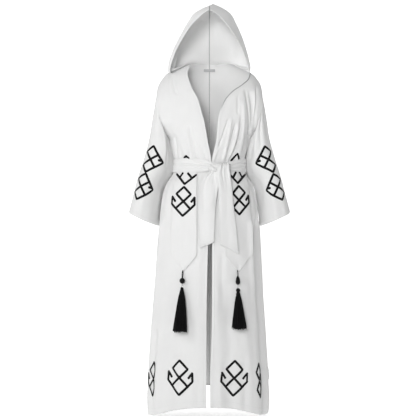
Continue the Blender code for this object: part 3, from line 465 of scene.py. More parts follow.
def cut_of(grid):
    """The flat cut of a grid of cloth: its greatest width and length over the cloth, and its area."""
    width, length = lengths(grid, 1).max(), lengths(grid, 0).max()
    a, b, c, d = grid[:-1, :-1], grid[:-1, 1:], grid[1:, 1:], grid[1:, :-1]
    area = sum(np.linalg.norm(np.cross(p - a, q - a), axis=-1).sum() for p, q in ((b, c), (c, d))) / 2
    return (float(width), float(length)), float(min(area, width * length))


def cloth_piece(name, points, skins, finish, sewn=(), closed=False, nearer=()):
    """A piece of cloth: both skins of a grid and a strip along each free edge, which is sharp where the
    piece is sewn on. Its UV map holds metres over the cloth from the first column and from the foot, or from
    the nearer of two opposite edges. The piece comes with the size and the area of its flat cut."""
    outer, inner = skins
    index = np.arange(outer[..., 0].size).reshape(outer.shape[:2])
    if closed:
        index = np.concatenate([index, index[:, :1]], axis=1)
        points = np.concatenate([points, points[:, :1]], axis=1)
    distance = edge_distances(points)
    across = np.minimum(distance["inner"], distance["outer"]) if "outer" in nearer else distance["inner"]
    along = np.minimum(distance["foot"], distance["top"]) if "top" in nearer else distance["foot"]
    uv_index = np.arange(index.size).reshape(index.shape)
    faces = []
    for table, inside in ((index, outer[..., 0].size), (uv_index, 0)):
        skin = grid_faces(table)
        lines = [table[0], table[-1, ::-1]]
        if not closed:
            lines += [table[::-1, 0], table[:, -1]]
        rims = [np.stack([line[1:], line[:-1], line[:-1] + inside, line[1:] + inside], -1) for line in lines]
        faces.append(np.concatenate([skin, skin[:, ::-1] + inside, *rims]))
        if inside:
            sharp = [line for line, side in zip(lines, ("top", "foot", "inner", "outer")) if side in sewn]
    turned_in = np.cross(outer[:-1, 1:] - outer[:-1, :-1], outer[1:, :-1] - outer[:-1, :-1])
    if np.sum(turned_in * (outer - inner)[:-1, :-1]) < 0:
        faces = [table[:, ::-1] for table in faces]
    uv = np.stack([across, along], axis=-1).reshape(-1, 2)[faces[1].ravel()]
    piece = new_piece(name, np.stack([outer, inner]), faces[0].tolist(), uv, finish)
    if sharp:
        step = outer[..., 0].size
        border = np.concatenate([np.stack([line[1:], line[:-1]], -1) for line in sharp])
        border = np.sort(np.concatenate([border, border + step])) @ [2 * step, 1]
        ends = np.zeros(2 * len(piece.data.edges), int)
        piece.data.edges.foreach_get("vertices", ends)
        is_border = np.isin(np.sort(ends.reshape(-1, 2)) @ [2 * step, 1], border)
        piece.data.attributes.new("sharp_edge", "BOOLEAN", "EDGE").data.foreach_set("value", is_border)
    return piece, *cut_of(points)


class Wire:
    """A number that travels through a material: arithmetic on wires adds Math nodes."""

    def __init__(self, tree, socket):
        self.tree, self.socket = tree, socket

    def maths(self, operation, first, second=None):
        node = self.tree.nodes.new("ShaderNodeMath")
        node.operation = operation
        for slot, term in zip(node.inputs, (first, second)):
            if isinstance(term, Wire):
                self.tree.links.new(term.socket, slot)
            elif term is not None:
                slot.default_value = term
        return Wire(self.tree, node.outputs[0])

    def __add__(self, other):
        return self.maths("ADD", self, other)

    def __radd__(self, other):
        return self.maths("ADD", other, self)

    def __sub__(self, other):
        return self.maths("SUBTRACT", self, other)

    def __rsub__(self, other):
        return self.maths("SUBTRACT", other, self)

    def __mul__(self, other):
        return self.maths("MULTIPLY", self, other)

    def __rmul__(self, other):
        return self.maths("MULTIPLY", other, self)

    def __abs__(self):
        return self.maths("ABSOLUTE", self)

    def sine(self):
        return self.maths("SINE", self)

    def above(self, low):
        return self.maths("MAXIMUM", self, low)

    def below(self, high):
        return self.maths("MINIMUM", self, high)


class Finish:
    """A material in the making: add() gives a node of any other kind, with its settings made first."""

    def __init__(self, name, **sockets):
        self.material = bpy.data.materials.new(name)
        self.material.use_nodes = True
        self.tree = self.material.node_tree
        self.shader = self.tree.nodes["Principled BSDF"]
        for socket, value in sockets.items():
            self.shader.inputs[socket.replace("_", " ")].default_value = value

    def add(self, kind, settings, sockets, output=0):
        """A node of the kind given; sockets are named or numbered, and take a number, colour or wire."""
        node = self.tree.nodes.new(kind)
        for name, value in settings.items():
            setattr(node, name, value)
        for slot, value in sockets.items():
            if isinstance(value, Wire):
                self.tree.links.new(value.socket, node.inputs[slot])
            else:
                node.inputs[slot].default_value = value
        return Wire(self.tree, node.outputs[output])

    def into(self, socket, wire):
        self.tree.links.new(wire.socket, self.shader.inputs[socket])


def part(finish, vector, axis):
    """One number of a vector: 0, 1 or 2 for X, Y or Z."""
    return finish.add("ShaderNodeSeparateXYZ", {}, {0: vector}, axis)


def blend(finish, share, low, high):
    """A colour between two others, by a share from 0 to 1."""
    return finish.add("ShaderNodeMix", {"data_type": "RGBA"}, {0: share, 6: low, 7: high}, 2)


def relief(finish, height):
    """Raises the finish by a height in metres."""
    bump = finish.add("ShaderNodeBump", {}, {"Strength": 1.0, "Distance": 1.0, "Height": height})
    finish.into("Normal", bump)


# The gauze's two whites, blended by its random cloudy tone and by painted shading in crinkle hollows and
# stitch grooves. The second pair, for back and hood, is paler: painted light for their shaded insides.
DEEP_WHITE = ((0.750, 0.752, 0.750, 1), (0.820, 0.822, 0.820, 1))     # most pieces, then back and hood
WHITE = ((0.830, 0.830, 0.824, 1), (0.905, 0.905, 0.900, 1))
# Painted shadow: the dark grey of the line along the centre seam's groove.
SEAM_SHADOW_GREY = (0.300, 0.302, 0.305, 1)
# Painted shading: the grey towards which the fronts' turned collar edge is darkened.
COLLAR_SHADE_GREY = (0.220, 0.220, 0.225, 1)
COLLAR_SHADE_X = 0.03          # painted shading on the collar's turned edge lies beyond this x
COLLAR_SHADE_Z = -0.150        # and above this height
CRINKLE_HEIGHT = 0.00062
SLUB_HEIGHT = 0.00010
WEAVE_HEIGHT = 0.00003
WEAVE_PITCH = 0.0009
STITCH_PITCH = 0.0032
STITCH_WIDTH = 0.0012
STITCH_GROOVE = 0.0005
STITCH_RISE = 0.0006
SEAM_SHADOW_HALF_WIDTH = 0.0026       # half width of the painted shadow line along the centre seam
CRINKLE_SCALE = (330.0, 190.0, 1.0)
SLUB_SCALE = (900.0, 30.0, 1.0)
CLOUD_SCALE = 14.0


def muslin(name, stitch_u=None, stitch_v=None, lit_copy_and_seam_shadow=False, collar=False):
    """White double gauze: fine uneven crinkles, an open weave, cloudy whiteness, and a stitched line at a
    distance from the first column or from the foot; the crinkles' hollows and the stitch groove get painted
    shading in the colour. With a centre seam the gauze is a paler copy, painted light for shaded insides,
    and a painted shadow line runs along the seam on the middle plane; a collar's turned edge gets painted
    shading on the wearer's left. Distances and heights are in metres."""
    cloth = Finish(name, Roughness=0.92, Specular_IOR_Level=0.22, Sheen_Weight=0.22, Sheen_Roughness=0.5)
    place = cloth.add("ShaderNodeUVMap", {"uv_map": "cloth"}, {})
    whole = cloth.add("ShaderNodeTexCoord", {}, {}, 3)
    u, v = part(cloth, place, 0), part(cloth, place, 1)
    crinkle_place = cloth.add("ShaderNodeMapping", {}, {"Vector": place, "Scale": CRINKLE_SCALE})
    crinkle = cloth.add("ShaderNodeTexNoise", {}, {"Vector": crinkle_place, "Scale": 1.0, "Detail": 2.5,
                                                   "Roughness": 0.55})
    slub_place = cloth.add("ShaderNodeMapping", {}, {"Vector": place, "Scale": SLUB_SCALE})
    slub = cloth.add("ShaderNodeTexNoise", {}, {"Vector": slub_place, "Scale": 1.0, "Detail": 1.0})
    cloud = cloth.add("ShaderNodeTexNoise", {}, {"Vector": place, "Scale": CLOUD_SCALE, "Detail": 3.0})
    weave = (u * (2 * math.pi / WEAVE_PITCH)).sine() * (v * (2 * math.pi / WEAVE_PITCH)).sine()
    height = crinkle * CRINKLE_HEIGHT + slub * SLUB_HEIGHT + weave * WEAVE_HEIGHT
    # Random cloudy tone, plus painted shading: the crinkles' hollows are darker.
    tone_and_painted_shading = cloud * 0.6 + crinkle * 0.4
    for line, along, at in ((u, v, stitch_u), (v, u, stitch_v)):
        if at is not None:
            band = (1 - abs(line - at) * (1 / STITCH_WIDTH)).above(0.0)
            stitch = ((along * (2 * math.pi / STITCH_PITCH)).sine() * 2.0 + 0.9).above(0.0).below(1.0)
            height = height - band * STITCH_GROOVE + band * stitch * STITCH_RISE
            # Painted shading: the stitch groove is darker.
            tone_and_painted_shading = tone_and_painted_shading - band * 0.35
    # With a centre seam the paler pair of whites is taken: painted light for shaded insides.
    colour = blend(cloth, tone_and_painted_shading.above(0.0).below(1.0), DEEP_WHITE[lit_copy_and_seam_shadow], WHITE[lit_copy_and_seam_shadow])
    # Painted shading: the turned collar edge on the wearer's left, high on the chest, is darkened towards
    # grey within about 6 mm of the edge.
    if collar:
        high = ((part(cloth, whole, 0) - COLLAR_SHADE_X) * 60).above(0.0).below(1.0)
        high = high * ((part(cloth, whole, 2) - COLLAR_SHADE_Z) * 20).above(0.0).below(1.0)
        colour = blend(cloth, high * (1.5 - u * 260).above(0.0).below(0.85), colour, COLLAR_SHADE_GREY)
    # Painted shadow: a dark grey line along the centre seam's groove.
    if lit_copy_and_seam_shadow:
        near = (1 - abs(part(cloth, whole, 0)) * (1 / SEAM_SHADOW_HALF_WIDTH)).above(0.0)
        colour = blend(cloth, (near * 1.3).below(1.0), colour, SEAM_SHADOW_GREY)
    cloth.into("Base Color", colour)
    relief(cloth, height)
    return cloth.material


STITCH_INSET = 0.002     # a hem's stitches run this far inside its inner edge,
FRONT_INSET = 0.0015     # and those of the front edges this far
# The fronts carry painted shading along the turned collar edge.
FRONT_CLOTH = muslin("muslin_front", FRONT_HEM - FRONT_INSET, SKIRT_HEM - STITCH_INSET, collar=True)
# The back takes the paler copy, painted light for its shaded inside, and the painted seam shadow.
BACK_CLOTH = muslin("muslin_back", None, SKIRT_HEM - STITCH_INSET, True)

for node, side, facing, edge, middle_columns, finish, seams, hems in (
    ("front_right", -1, -1, RIGHT_EDGE, 84, FRONT_CLOTH, {}, {"inner": FRONT_HEM}),
    ("front_left", 1, -1, LEFT_EDGE, 92, FRONT_CLOTH, {}, {"inner": FRONT_HEM}),
    ("back_right", -1, 1, None, 58, BACK_CLOTH, {"inner": 0.0}, {}),
    ("back_left", 1, 1, None, 58, BACK_CLOTH, {"inner": 0.0}, {}),
):
    seams = {"outer": ALLOWANCE, "top": ALLOWANCE} | seams
    across, row = panel_grid(side, facing, edge, middle_columns)
    points = body(side, facing, across, row)
    skins = sewn_skins(points, body_normals(side, facing, across, row), seams, hems | {"foot": SKIRT_HEM})
    for skin in skins:
        skin[0, :, 1] = facing * np.maximum(facing * skin[0, :, 1], SEAM_GAP)
    panel, flat, area = cloth_piece(node + "_cloth", points, skins, finish, seams)
    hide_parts(node)


# Sleeves. Wide tubes of the same gauze, set into dropped armholes, that widen to a plain turned cuff. One
# seam runs from the underarm to the cuff.
SLEEVE = columns(
    "outer_x outer_z inner_x inner_z half_depth forward back",
    (0.232, -0.16, 0.154, -0.28, 0.078, 0.004, 0.046),
    (0.247, -0.254, 0.136, -0.34, 0.078, 0.008, 0.064),
    (0.268, -0.33, 0.146, -0.395, 0.076, 0.012, 0.066),
    (0.288, -0.395, 0.184, -0.45, 0.075, 0.015, 0.062),
    (0.308, -0.47, 0.1995, -0.53, 0.074, 0.018, 0.063),
    (0.329, -0.552, 0.207, -0.608, 0.074, 0.02, 0.064),
)
# Folds along the sleeves: side of the wearer (0 for both), place round the sleeve (0 outer, 90 front,
# 180 inner), share of the sleeve's length.
SLEEVE_FOLDS = columns(
    "side angle_top angle_foot start end width depth",
    (-1, 128, 140, 0.1, 0.75, 16, -0.007),
    (-1, 100, 104, 0.05, 0.6, 14, 0.004),
    (-1, 60, 66, 0.2, 1.2, 16, -0.004),
    (-1, 112, 118, 0, 0.52, 5, -0.0065),
    (-1, 101, 106, 0.02, 0.5, 6, 0.0035),
    (-1, 86, 92, 0.6, 1.2, 12, -0.003),
    (1, 112, 128, 0, 0.45, 9, -0.008),
    (1, 92, 104, 0.02, 0.5, 9, 0.005),
    (1, 70, 84, 0.02, 0.42, 8, -0.006),
    (1, 128, 140, 0.3, 0.9, 14, -0.006),
    (1, 60, 66, 0.45, 1.2, 16, -0.004),
    (1, 34, 40, 0.02, 0.4, 10, -0.005),
    (0, -60, -70, 0.1, 1.2, 18, -0.006),
    (0, -115, -120, 0.05, 0.9, 18, -0.007),
    (0, -20, -22, 0.45, 1.2, 16, 0.004),
    (1, 84, 90, 0.65, 1.2, 12, 0.003),
)
CUFF_HEM = 0.018
SLEEVE_CRUMPLE = 0.0012
CRUMPLE_FADE = 0.1       # share of the length over which the crumples grow below the armhole
SLEEVE_FADE = 0.15       # share of the length over which a fold begins and ends
SLEEVE_SQUARENESS = 0.9
SLEEVE_AROUND = 144
SLEEVE_ALONG = 96


def loft(rings, at):
    """Rings between the given ones: a smooth curve through each ring's own point of the same number."""
    rings = np.asarray(rings)
    last = len(rings) - 1
    place = np.clip(at, 0, 1) * last
    cell = np.minimum(place.astype(int), last - 1)
    s = (place - cell).reshape((-1,) + (1,) * (rings.ndim - 1))
    p0, p1 = rings[np.maximum(cell - 1, 0)], rings[cell]
    p2, p3 = rings[cell + 1], rings[np.minimum(cell + 2, last)]
    return 0.5 * (2 * p1 + (p2 - p0) * s + (2 * p0 - 5 * p1 + 4 * p2 - p3) * s**2
                  + (3 * p1 - p0 - 3 * p2 + p3) * s**3)


def grid_normals(points, outward, closed=False):
    """Unit normals of a grid from its neighbours' cross product, turned to the side of outward."""
    if closed:
        across = np.roll(points, -1, axis=1) - np.roll(points, 1, axis=1)
    else:
        across = np.gradient(points, axis=1)
    normal = unit(np.cross(across, np.gradient(points, axis=0)))
    return normal if np.sum(normal * outward) > 0 else -normal


def armhole_ring(side, around):
    """The armhole's own edge, from the shoulder over the front and underarm and up the back."""
    t = (1 - np.cos(around)) / 2
    facing = np.where(np.sin(around) >= 0, -1, 1)[:, None]
    ring = np.zeros((len(around), 3))
    for face in (-1, 1):
        half, _, _ = body_frame(t, np.full_like(t, UNDERARM_Z), face)
        across = np.degrees(np.arcsin(np.clip(read(ARMHOLE, "x", t, "t") / half, -1, 1)))
        ring = np.where(facing == face, body(side, face, across, t), ring)
    return ring


def sleeve(side, around, at):
    """Points of a sleeve: rings round its slanting middle line, moved in and out by its folds."""
    rings = [armhole_ring(side, around) + [side * SEAM_GAP, 0, -SEAM_GAP]]
    for outer_x, outer_z, inner_x, inner_z, half_depth, forward, back in zip(*SLEEVE.values()):
        swing = np.cos(around)
        x = (outer_x + inner_x) / 2 + (outer_x - inner_x) / 2 * swing
        z = (outer_z + inner_z) / 2 + (outer_z - inner_z) / 2 * swing
        y = -forward - half_depth * np.sign(np.sin(around)) * np.abs(np.sin(around))**SLEEVE_SQUARENESS
        y += back * ((1 - swing) / 2)**2
        rings.append(np.stack([side * x, y, z], axis=-1))
    points = loft(rings, at)
    normal = grid_normals(points, points - points.mean(axis=1, keepdims=True), closed=True)
    total = crumple(points, SLEEVE_CRUMPLE) * smooth(at[:, None] / CRUMPLE_FADE)
    degrees = np.degrees(around)
    along = at[:, None]
    for one, a_top, a_foot, start, end, width, depth in zip(*SLEEVE_FOLDS.values()):
        line = a_top + (a_foot - a_top) * along
        across = (degrees - line + 180) % 360 - 180
        fade = smooth((along - start) / SLEEVE_FADE) * smooth((end - along) / SLEEVE_FADE)
        total += (one != -side) * depth * bell(across, width) * fade
    return points + normal * total[..., None]


SLEEVE_CLOTH = muslin("muslin_sleeve", None, CUFF_HEM - STITCH_INSET)
around = np.linspace(0, 2 * math.pi, SLEEVE_AROUND, endpoint=False)
at = np.concatenate([[0, 0.004, 0.010, 0.018], np.linspace(0.03, 0.955, SLEEVE_ALONG),
                     [0.962, 0.966, 0.970, 0.980, 0.990, 0.996, 0.999, 1.0]])
for word, side in (("right", -1), ("left", 1)):
    points = sleeve(side, around, at)
    normal = grid_normals(points, points - points.mean(axis=1, keepdims=True), closed=True)
    seams = {"top": ALLOWANCE}
    skins = sewn_skins(points, normal, seams, {"foot": CUFF_HEM})
    piece, flat, area = cloth_piece(f"sleeve_{word}_cloth", points, skins, SLEEVE_CLOTH, seams, closed=True)
    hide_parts(f"sleeve_{word}")


# Hood. Two halves of gauze, joined by a seam over the crown and down the back, sewn to the neck. The rim
# is turned in, and the cloth sinks into soft folds where it stands on the shoulders.
HOOD = columns(
    "rim_x rim_y rim_z side_x side_y side_z back_y back_z",
    (0.159, -0.044, 0.036, 0.169, 0, 0.038, 0.093, 0.088),
    (0.145, -0.06, 0.075, 0.1605, 0.01, 0.082, 0.11, 0.122),
    (0.13, -0.073, 0.11, 0.149, 0.018, 0.121, 0.123, 0.154),
    (0.111, -0.081, 0.143, 0.134, 0.022, 0.157, 0.13, 0.184),
    (0.089, -0.086, 0.178, 0.116, 0.022, 0.192, 0.132, 0.211),
    (0.062, -0.089, 0.212, 0.096, 0.016, 0.228, 0.129, 0.235),
    (0.033, -0.091, 0.241, 0.069, 0.006, 0.268, 0.121, 0.253),
    (0.0002, -0.092, 0.262, 0.0004, -0.005, 0.301, 0.108, 0.266),
)
# Folds of the hood: the side of the wearer, the middle of each at its foot and top (u from the rim 0 to
# the back 1, v from the neck 0 to the crown 1), its width in u and its depth.
HOOD_FOLDS = columns(
    "side u_foot v_foot u_top v_top width depth",
    (-1, 0.29, -0.3, 0.18, 0.85, 0.042, -0.027),
    (-1, 0.62, -0.3, 0.55, 0.45, 0.08, 0.004),
    (-1, 0.13, -0.3, 0.1, 0.6, 0.05, 0.003),
    (1, 0.4, -0.3, 0.34, 0.45, 0.08, -0.006),
    (1, 0.7, -0.3, 0.62, 0.5, 0.09, 0.004),
    (1, 0.55, 0.1, 0.45, 0.95, 0.09, -0.004),
    (-1, 0.75, 0.05, 0.6, 0.9, 0.1, -0.004),
)
HOOD_LEAN = 0.022        # how far the crown leans to the wearer's left
HOOD_FULLNESS = {-1: -0.002, 1: 0.010}     # how much fuller each half is to the wearer's left below it
HOOD_FOOT_SHARE = 0.12   # share of the foot that lies on the front
HOOD_CORNER = {-1: 0.1680, 1: 0.1652}      # distance of the foot's corner on the shoulder line
HOOD_FRONT = 0.1580      # distance of the foot's front end on the wearer's right
HOOD_FRONT_ROW = 0.038   # and its row on the wearer's left
SEAM_LAP = 0.0006        # how far the foot runs into the neck seam
HOOD_CRUMPLE = 0.0012
HOOD_MIDDLE = (0, 0.02, 0.10)     # a place inside, which tells the normals' side
RIM_HEM = 0.020


def hood_foot(side, u):
    """The hood's lower edge: up the front's own edge to the shoulder line, then along the back's top."""
    corner = HOOD_CORNER[side]
    turn = np.clip(u / HOOD_FOOT_SHARE, 0, 1)
    if side < 0:
        distance = HOOD_FRONT + (corner - HOOD_FRONT) * turn
        front = np.stack([distance, -read(RIGHT_TOP, "stand_off", distance, "x"),
                          read(RIGHT_TOP, "z", distance, "x") - SEAM_LAP], axis=-1)
    else:
        row = HOOD_FRONT_ROW * (1 - turn)
        top = LEFT_EDGE["z"][0]
        height = top + (UNDERARM_Z - top) * row
        half, _, _ = body_frame(row, np.full_like(row, UNDERARM_Z), -1)
        across = np.degrees(np.arcsin((read(LEFT_EDGE, "x", height) - 4 * SEAM_GAP) / half))
        front = body(1, -1, across, row)
    distance = corner * (1 - (u - HOOD_FOOT_SHARE) / (1 - HOOD_FOOT_SHARE))
    neck = NECK_DEPTH * np.clip(1 - (distance / NECK_HALF)**2, 0, 1)**2
    back = np.stack([distance, neck, read(SHOULDER, "z", distance, "x") - SEAM_LAP], axis=-1)
    return np.where((u <= HOOD_FOOT_SHARE)[:, None], front, back)


def hood(side, u, v):
    """Points of a hood half: each section is a bent half ring from the rim round the side to the back,
    and a smooth curve joins the sections from the neck to the crown."""
    rings = [hood_foot(side, u)]
    for rim_x, rim_y, rim_z, side_x, side_y, side_z, back_y, back_z in zip(*HOOD.values()):
        first = -np.arccos(np.clip(rim_x / max(side_x, 1e-6), 0, 1))
        turn = first + (math.pi / 2 - first) * u
        x = side_x * np.cos(turn)
        front_part = np.sin(turn.clip(None, 0)) / np.sin(first) if first else 0 * u
        back_part = np.sin(turn.clip(0, None))
        y = side_y + (rim_y - side_y) * front_part + (back_y - side_y) * back_part
        z = side_z + (rim_z - side_z) * front_part**2 + (back_z - side_z) * back_part**2
        rings.append(np.stack([x, y, z], axis=-1))
    points = loft(rings, v)
    points[..., 0] += SEAM_GAP
    lean = HOOD_LEAN * v[:, None]**3 + HOOD_FULLNESS[side] * np.sin(math.pi * v[:, None]**1.6)**2
    lean = lean * np.sin(math.pi * u)**2
    points[..., 0] = side * points[..., 0] + lean
    normal = hood_normals(points)
    edge_fade = smooth((1 - u) / 0.06) * smooth((1 - v[:, None]) / 0.06) * smooth(v[:, None] / 0.10)
    total = crumple(points, HOOD_CRUMPLE) * edge_fade
    for one, u_foot, v_foot, u_top, v_top, width, depth in zip(*HOOD_FOLDS.values()):
        share = np.clip((v[:, None] - v_foot) / (v_top - v_foot), 0, 1)
        middle = u_foot + (u_top - u_foot) * share
        fade = smooth((v[:, None] - v_foot) / 0.2) * smooth((v_top - v[:, None]) / 0.25) * edge_fade
        total = total + (one == side) * depth * bell(u - middle, width) * fade
    return points + normal * total[..., None]


def hood_normals(points):
    """Normals of a hood half, level along the centre seam so that both halves meet on one plane."""
    normal = grid_normals(points, points - HOOD_MIDDLE)
    normal[:, -1, 0] = 0
    normal[-1, :, 0] = 0
    return unit(normal)


# The hood takes the paler copy, painted light for its shaded inside, and the painted seam shadow.
HOOD_CLOTH = muslin("muslin_hood", RIM_HEM - STITCH_INSET, None, True)
u = np.concatenate([[0, 0.004, 0.011, 0.022, 0.034, 0.042, 0.049, 0.056, 0.07, 0.09],
                    np.linspace(0.11, 0.975, 70), [0.985, 0.992, 0.997, 1.0]])
v = np.concatenate([[0, 0.004, 0.010, 0.018], np.linspace(0.03, 0.97, 66), [0.982, 0.990, 0.996, 1.0]])
for word, side in (("right", -1), ("left", 1)):
    points = hood(side, u, v)
    seams = {"outer": 0.0, "top": 0.0, "foot": ALLOWANCE}
    skins = sewn_skins(points, hood_normals(points), seams, {"inner": RIM_HEM})
    half_hood, flat, area = cloth_piece(f"hood_{word}_cloth", points, skins, HOOD_CLOTH, seams)
    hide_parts(f"hood_{word}")


# Front tabs. Two long pointed flaps of doubled gauze that hang from the waist seam under the belt; their
# edges are topstitched, and each point carries a tassel.
TAB = columns(
    "z inner outer",
    (-0.359, 0.0545, 0.127),
    (-0.405, 0.0545, 0.137),
    (-0.45, 0.0545, 0.152),
    (-0.52, 0.0545, 0.158),
    (-0.716, 0.0545, 0.16),
)
TAB_CENTRE = 0.005
TAB_TIP_X = 0.108
TAB_TIP_Z = -0.781
TAB_SHOULDER_Z = -0.716
TAB_LIFT = 0.0030
TAB_CURL = 0.0030        # how far the edge on the wearer's left stands off the front
TAB_WAVE = 0.0008
TAB_HEM = 0.008
TAB_STITCH = 0.006       # the topstitching's distance from the edge


def front_angle(x, z):
    """Angle and row on the fronts for a place x, z: the arc sine of its share of the half width."""
    side = np.where(x >= 0, 1, -1)
    half, _, centre = body_frame(np.ones_like(z), z, -1)
    across = np.degrees(np.arcsin(np.clip(side * (x - centre) / half, -1, 1)))
    return side, across, row_at(z, across)


def front_skin(x, z, lift):
    """Points on the fronts at x and z, moved out by lift, with all the fronts' folds, and the normals."""
    x, z, lift = np.broadcast_arrays(np.asarray(x, float), np.asarray(z, float), np.asarray(lift, float))
    side, across, row = front_angle(x, z)
    points, normal = np.zeros(x.shape + (3,)), np.zeros(x.shape + (3,))
    for one in (-1, 1):
        chosen = (side == one)[..., None]
        spread = body_normals(one, -1, across, row)
        normal = np.where(chosen, spread, normal)
        points = np.where(chosen, body(one, -1, across, row) + spread * lift[..., None], points)
    return points, normal


def tab_outline(z):
    """Distances of a tab's inner and outer edge from the tabs' middle plane; both meet at the tip."""
    shut = np.clip((TAB_SHOULDER_Z - z) / (TAB_SHOULDER_Z - TAB_TIP_Z), 0, 0.985)
    inner, outer = read(TAB, "inner", z), read(TAB, "outer", z)
    return inner + (TAB_TIP_X - inner) * shut, outer + (TAB_TIP_X - outer) * shut


def tab_lift(side, u, z):
    """Lift of a tab off the front: flat in the middle and curled up along its edge on the wearer's left."""
    from_left = u if side < 0 else 1 - u
    return TAB_LIFT + TAB_CURL * (1 - from_left)**8 + TAB_WAVE * np.sin(9 * u + 24 * z)


TAB_CLOTH = muslin("muslin_tab", TAB_STITCH, None)
tab_u = np.concatenate([[0, 0.015, 0.04, 0.07, 0.10], np.linspace(0.14, 0.86, 34),
                        [0.90, 0.93, 0.96, 0.985, 1.0]])
tab_z = np.concatenate([np.linspace(TAB["z"][0], TAB_SHOULDER_Z, 96),
                        np.linspace(TAB_SHOULDER_Z, TAB_TIP_Z, 26)[1:]])
for word, side in (("right", -1), ("left", 1)):
    inner_edge, outer_edge = tab_outline(tab_z)
    x = TAB_CENTRE + side * (inner_edge[:, None] + (outer_edge - inner_edge)[:, None] * tab_u)
    z = np.broadcast_to(tab_z[:, None], x.shape)
    points, normal = front_skin(x, z, tab_lift(side, tab_u, z))
    skins = sewn_skins(points, normal, {}, {"inner": TAB_HEM, "outer": TAB_HEM})
    tab, flat, area = cloth_piece(f"tab_{word}_cloth", points, skins, TAB_CLOTH, nearer=("outer",))
    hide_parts(f"tab_{word}")


# Belt. A long soft sash of doubled gauze, wound once round the waist over the tabs. It gathers where it
# runs into the knot, and its two ends hang from the knot with a slanted cut.
BELT_Z = -0.360
BELT_HEIGHT = 0.058
BAND_BULGE = ((-0.5, -0.1, 0.3, 0.5), (0.0052, 0.0064, 0.0040, 0.0008))     # share of the height, lift
BAND_CLEAR = 0.0011      # how far the band stays off the folds below it
BAND_OVER_TABS = 0.12    # below this share of its height it lies on the tabs
BAND_CRUMPLE = 0.0007
KNOT_ANGLE = 14.0
KNOT_REACH = (20, 33)    # how far the gathering reaches to the wearer's right and left of the knot
GATHER_LIFT = 0.0040     # how far the band stands out there,
GATHER_DROP = 0.006      # how far it drops
GATHER_NARROW = 0.45     # and the share of its height that it loses
# Creases along the band: where they start and end (angle), the share of the band's height, the depth.
BAND_CREASES = columns(
    "angle_a share_a angle_b share_b width depth",
    (-75, 0.1, 6, 0.06, 0.06, -0.0032),
    (-62, -0.22, 6, -0.16, 0.05, -0.0026),
    (-40, 0.34, 6, 0.22, 0.05, -0.0022),
    (-50, -0.05, 6, -0.05, 0.055, 0.0022),
    (24, 0.1, 80, 0.18, 0.05, -0.003),
    (24, -0.16, 88, -0.1, 0.055, -0.0034),
    (24, -0.34, 60, -0.38, 0.045, -0.0022),
    (24, 0.3, 66, 0.34, 0.045, 0.0022),
    (-170, 0.12, -90, 0.05, 0.06, -0.0022),
    (95, -0.08, 175, -0.14, 0.06, -0.0024),
)


def round_body(angle, row):
    """Points and normals of the unfolded body at an angle from the centre front and a row."""
    angle, row = np.broadcast_arrays(angle, row)
    points, normal = np.zeros(angle.shape + (3,)), np.zeros(angle.shape + (3,))
    for side in (-1, 1):
        for facing in (-1, 1):
            chosen = ((angle >= 0) == (side > 0)) & ((np.abs(angle) <= 90) == (facing < 0))
            across = np.where(chosen, np.abs(angle) if facing < 0 else 180 - np.abs(angle), 45.0)
            points = np.where(chosen[..., None], body(side, facing, across, row, False), points)
            normal = np.where(chosen[..., None], body_normals(side, facing, across, row), normal)
    return points, normal


END_STITCH = 0.003
BELT_CLOTH = muslin("muslin_belt", None, END_STITCH)
angle = np.linspace(-180, 180, 320, endpoint=False)[None, :]
share = np.concatenate([[0.5, 0.485, 0.46], np.linspace(0.42, -0.42, 30), [-0.46, -0.485, -0.5]])[:, None]
near_knot = bell(angle - KNOT_ANGLE, np.where(angle > KNOT_ANGLE, KNOT_REACH[1], KNOT_REACH[0]))
z = BELT_Z - GATHER_DROP * near_knot + BELT_HEIGHT * (1 - GATHER_NARROW * near_knot) * share
lift = np.interp(share, *BAND_BULGE) + GATHER_LIFT * near_knot
for angle_a, share_a, angle_b, share_b, width, depth in zip(*BAND_CREASES.values()):
    run = (angle - angle_a) / (angle_b - angle_a)
    line = share_a + (share_b - share_a) * np.clip(run, 0, 1)
    if angle_a < 0:
        fade = smooth(run / 0.3) * smooth((1.06 - run) / 0.06)
    else:
        fade = smooth((1 - run) / 0.35) * (run > -0.2)
    lift = lift + depth * bell(share - line, width) * fade
points, normal = round_body(angle, 1 + (z - UNDERARM_Z) / (HEM_Z - UNDERARM_Z))
under = fold_lift(angle, points) + TAB_LIFT * smooth((BAND_OVER_TABS - share) / 0.2)
points = points + normal * np.maximum(lift, under + BAND_CLEAR)[..., None]
points = points + normal * crumple(points, BAND_CRUMPLE)[..., None]
skins = sewn_skins(points, normal, {}, {})
band, flat, area = cloth_piece("belt_band_cloth", points, skins, BELT_CLOTH, closed=True, nearer=("top",))
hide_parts("belt_band")

# The knot: the heart is the gathered cloth of both ends; the wearer's left end is drawn over it and falls.
KNOT_SEAT = 0.0100       # how far the heart's back lies before the fronts
HEART_BACK = (0.04, -0.10, -0.371)
HEART_CREASES = ((0.13, 1.0, 0.0), (0.07, 2.3, 1.1), (0.04, 5.1, 0.0))     # size, pitch, phase
HEART_CRUMPLE = 0.0004
HEART = columns(
    "x z half_height half_depth",
    (-0.004, -0.372, 0.006, 0.004),
    (0.003, -0.371, 0.012, 0.008),
    (0.015, -0.371, 0.0165, 0.0112),
    (0.03, -0.371, 0.0172, 0.0125),
    (0.05, -0.371, 0.0175, 0.012),
    (0.07, -0.368, 0.0165, 0.0095),
    (0.083, -0.364, 0.009, 0.0045),
)


def front_y(x, z):
    """How far forward the fronts lie at x and z, without folds."""
    side, across, row = front_angle(x, z)
    right, left = body(-1, -1, across, row, False), body(1, -1, across, row, False)
    return np.where(side < 0, right[..., 1], left[..., 1])


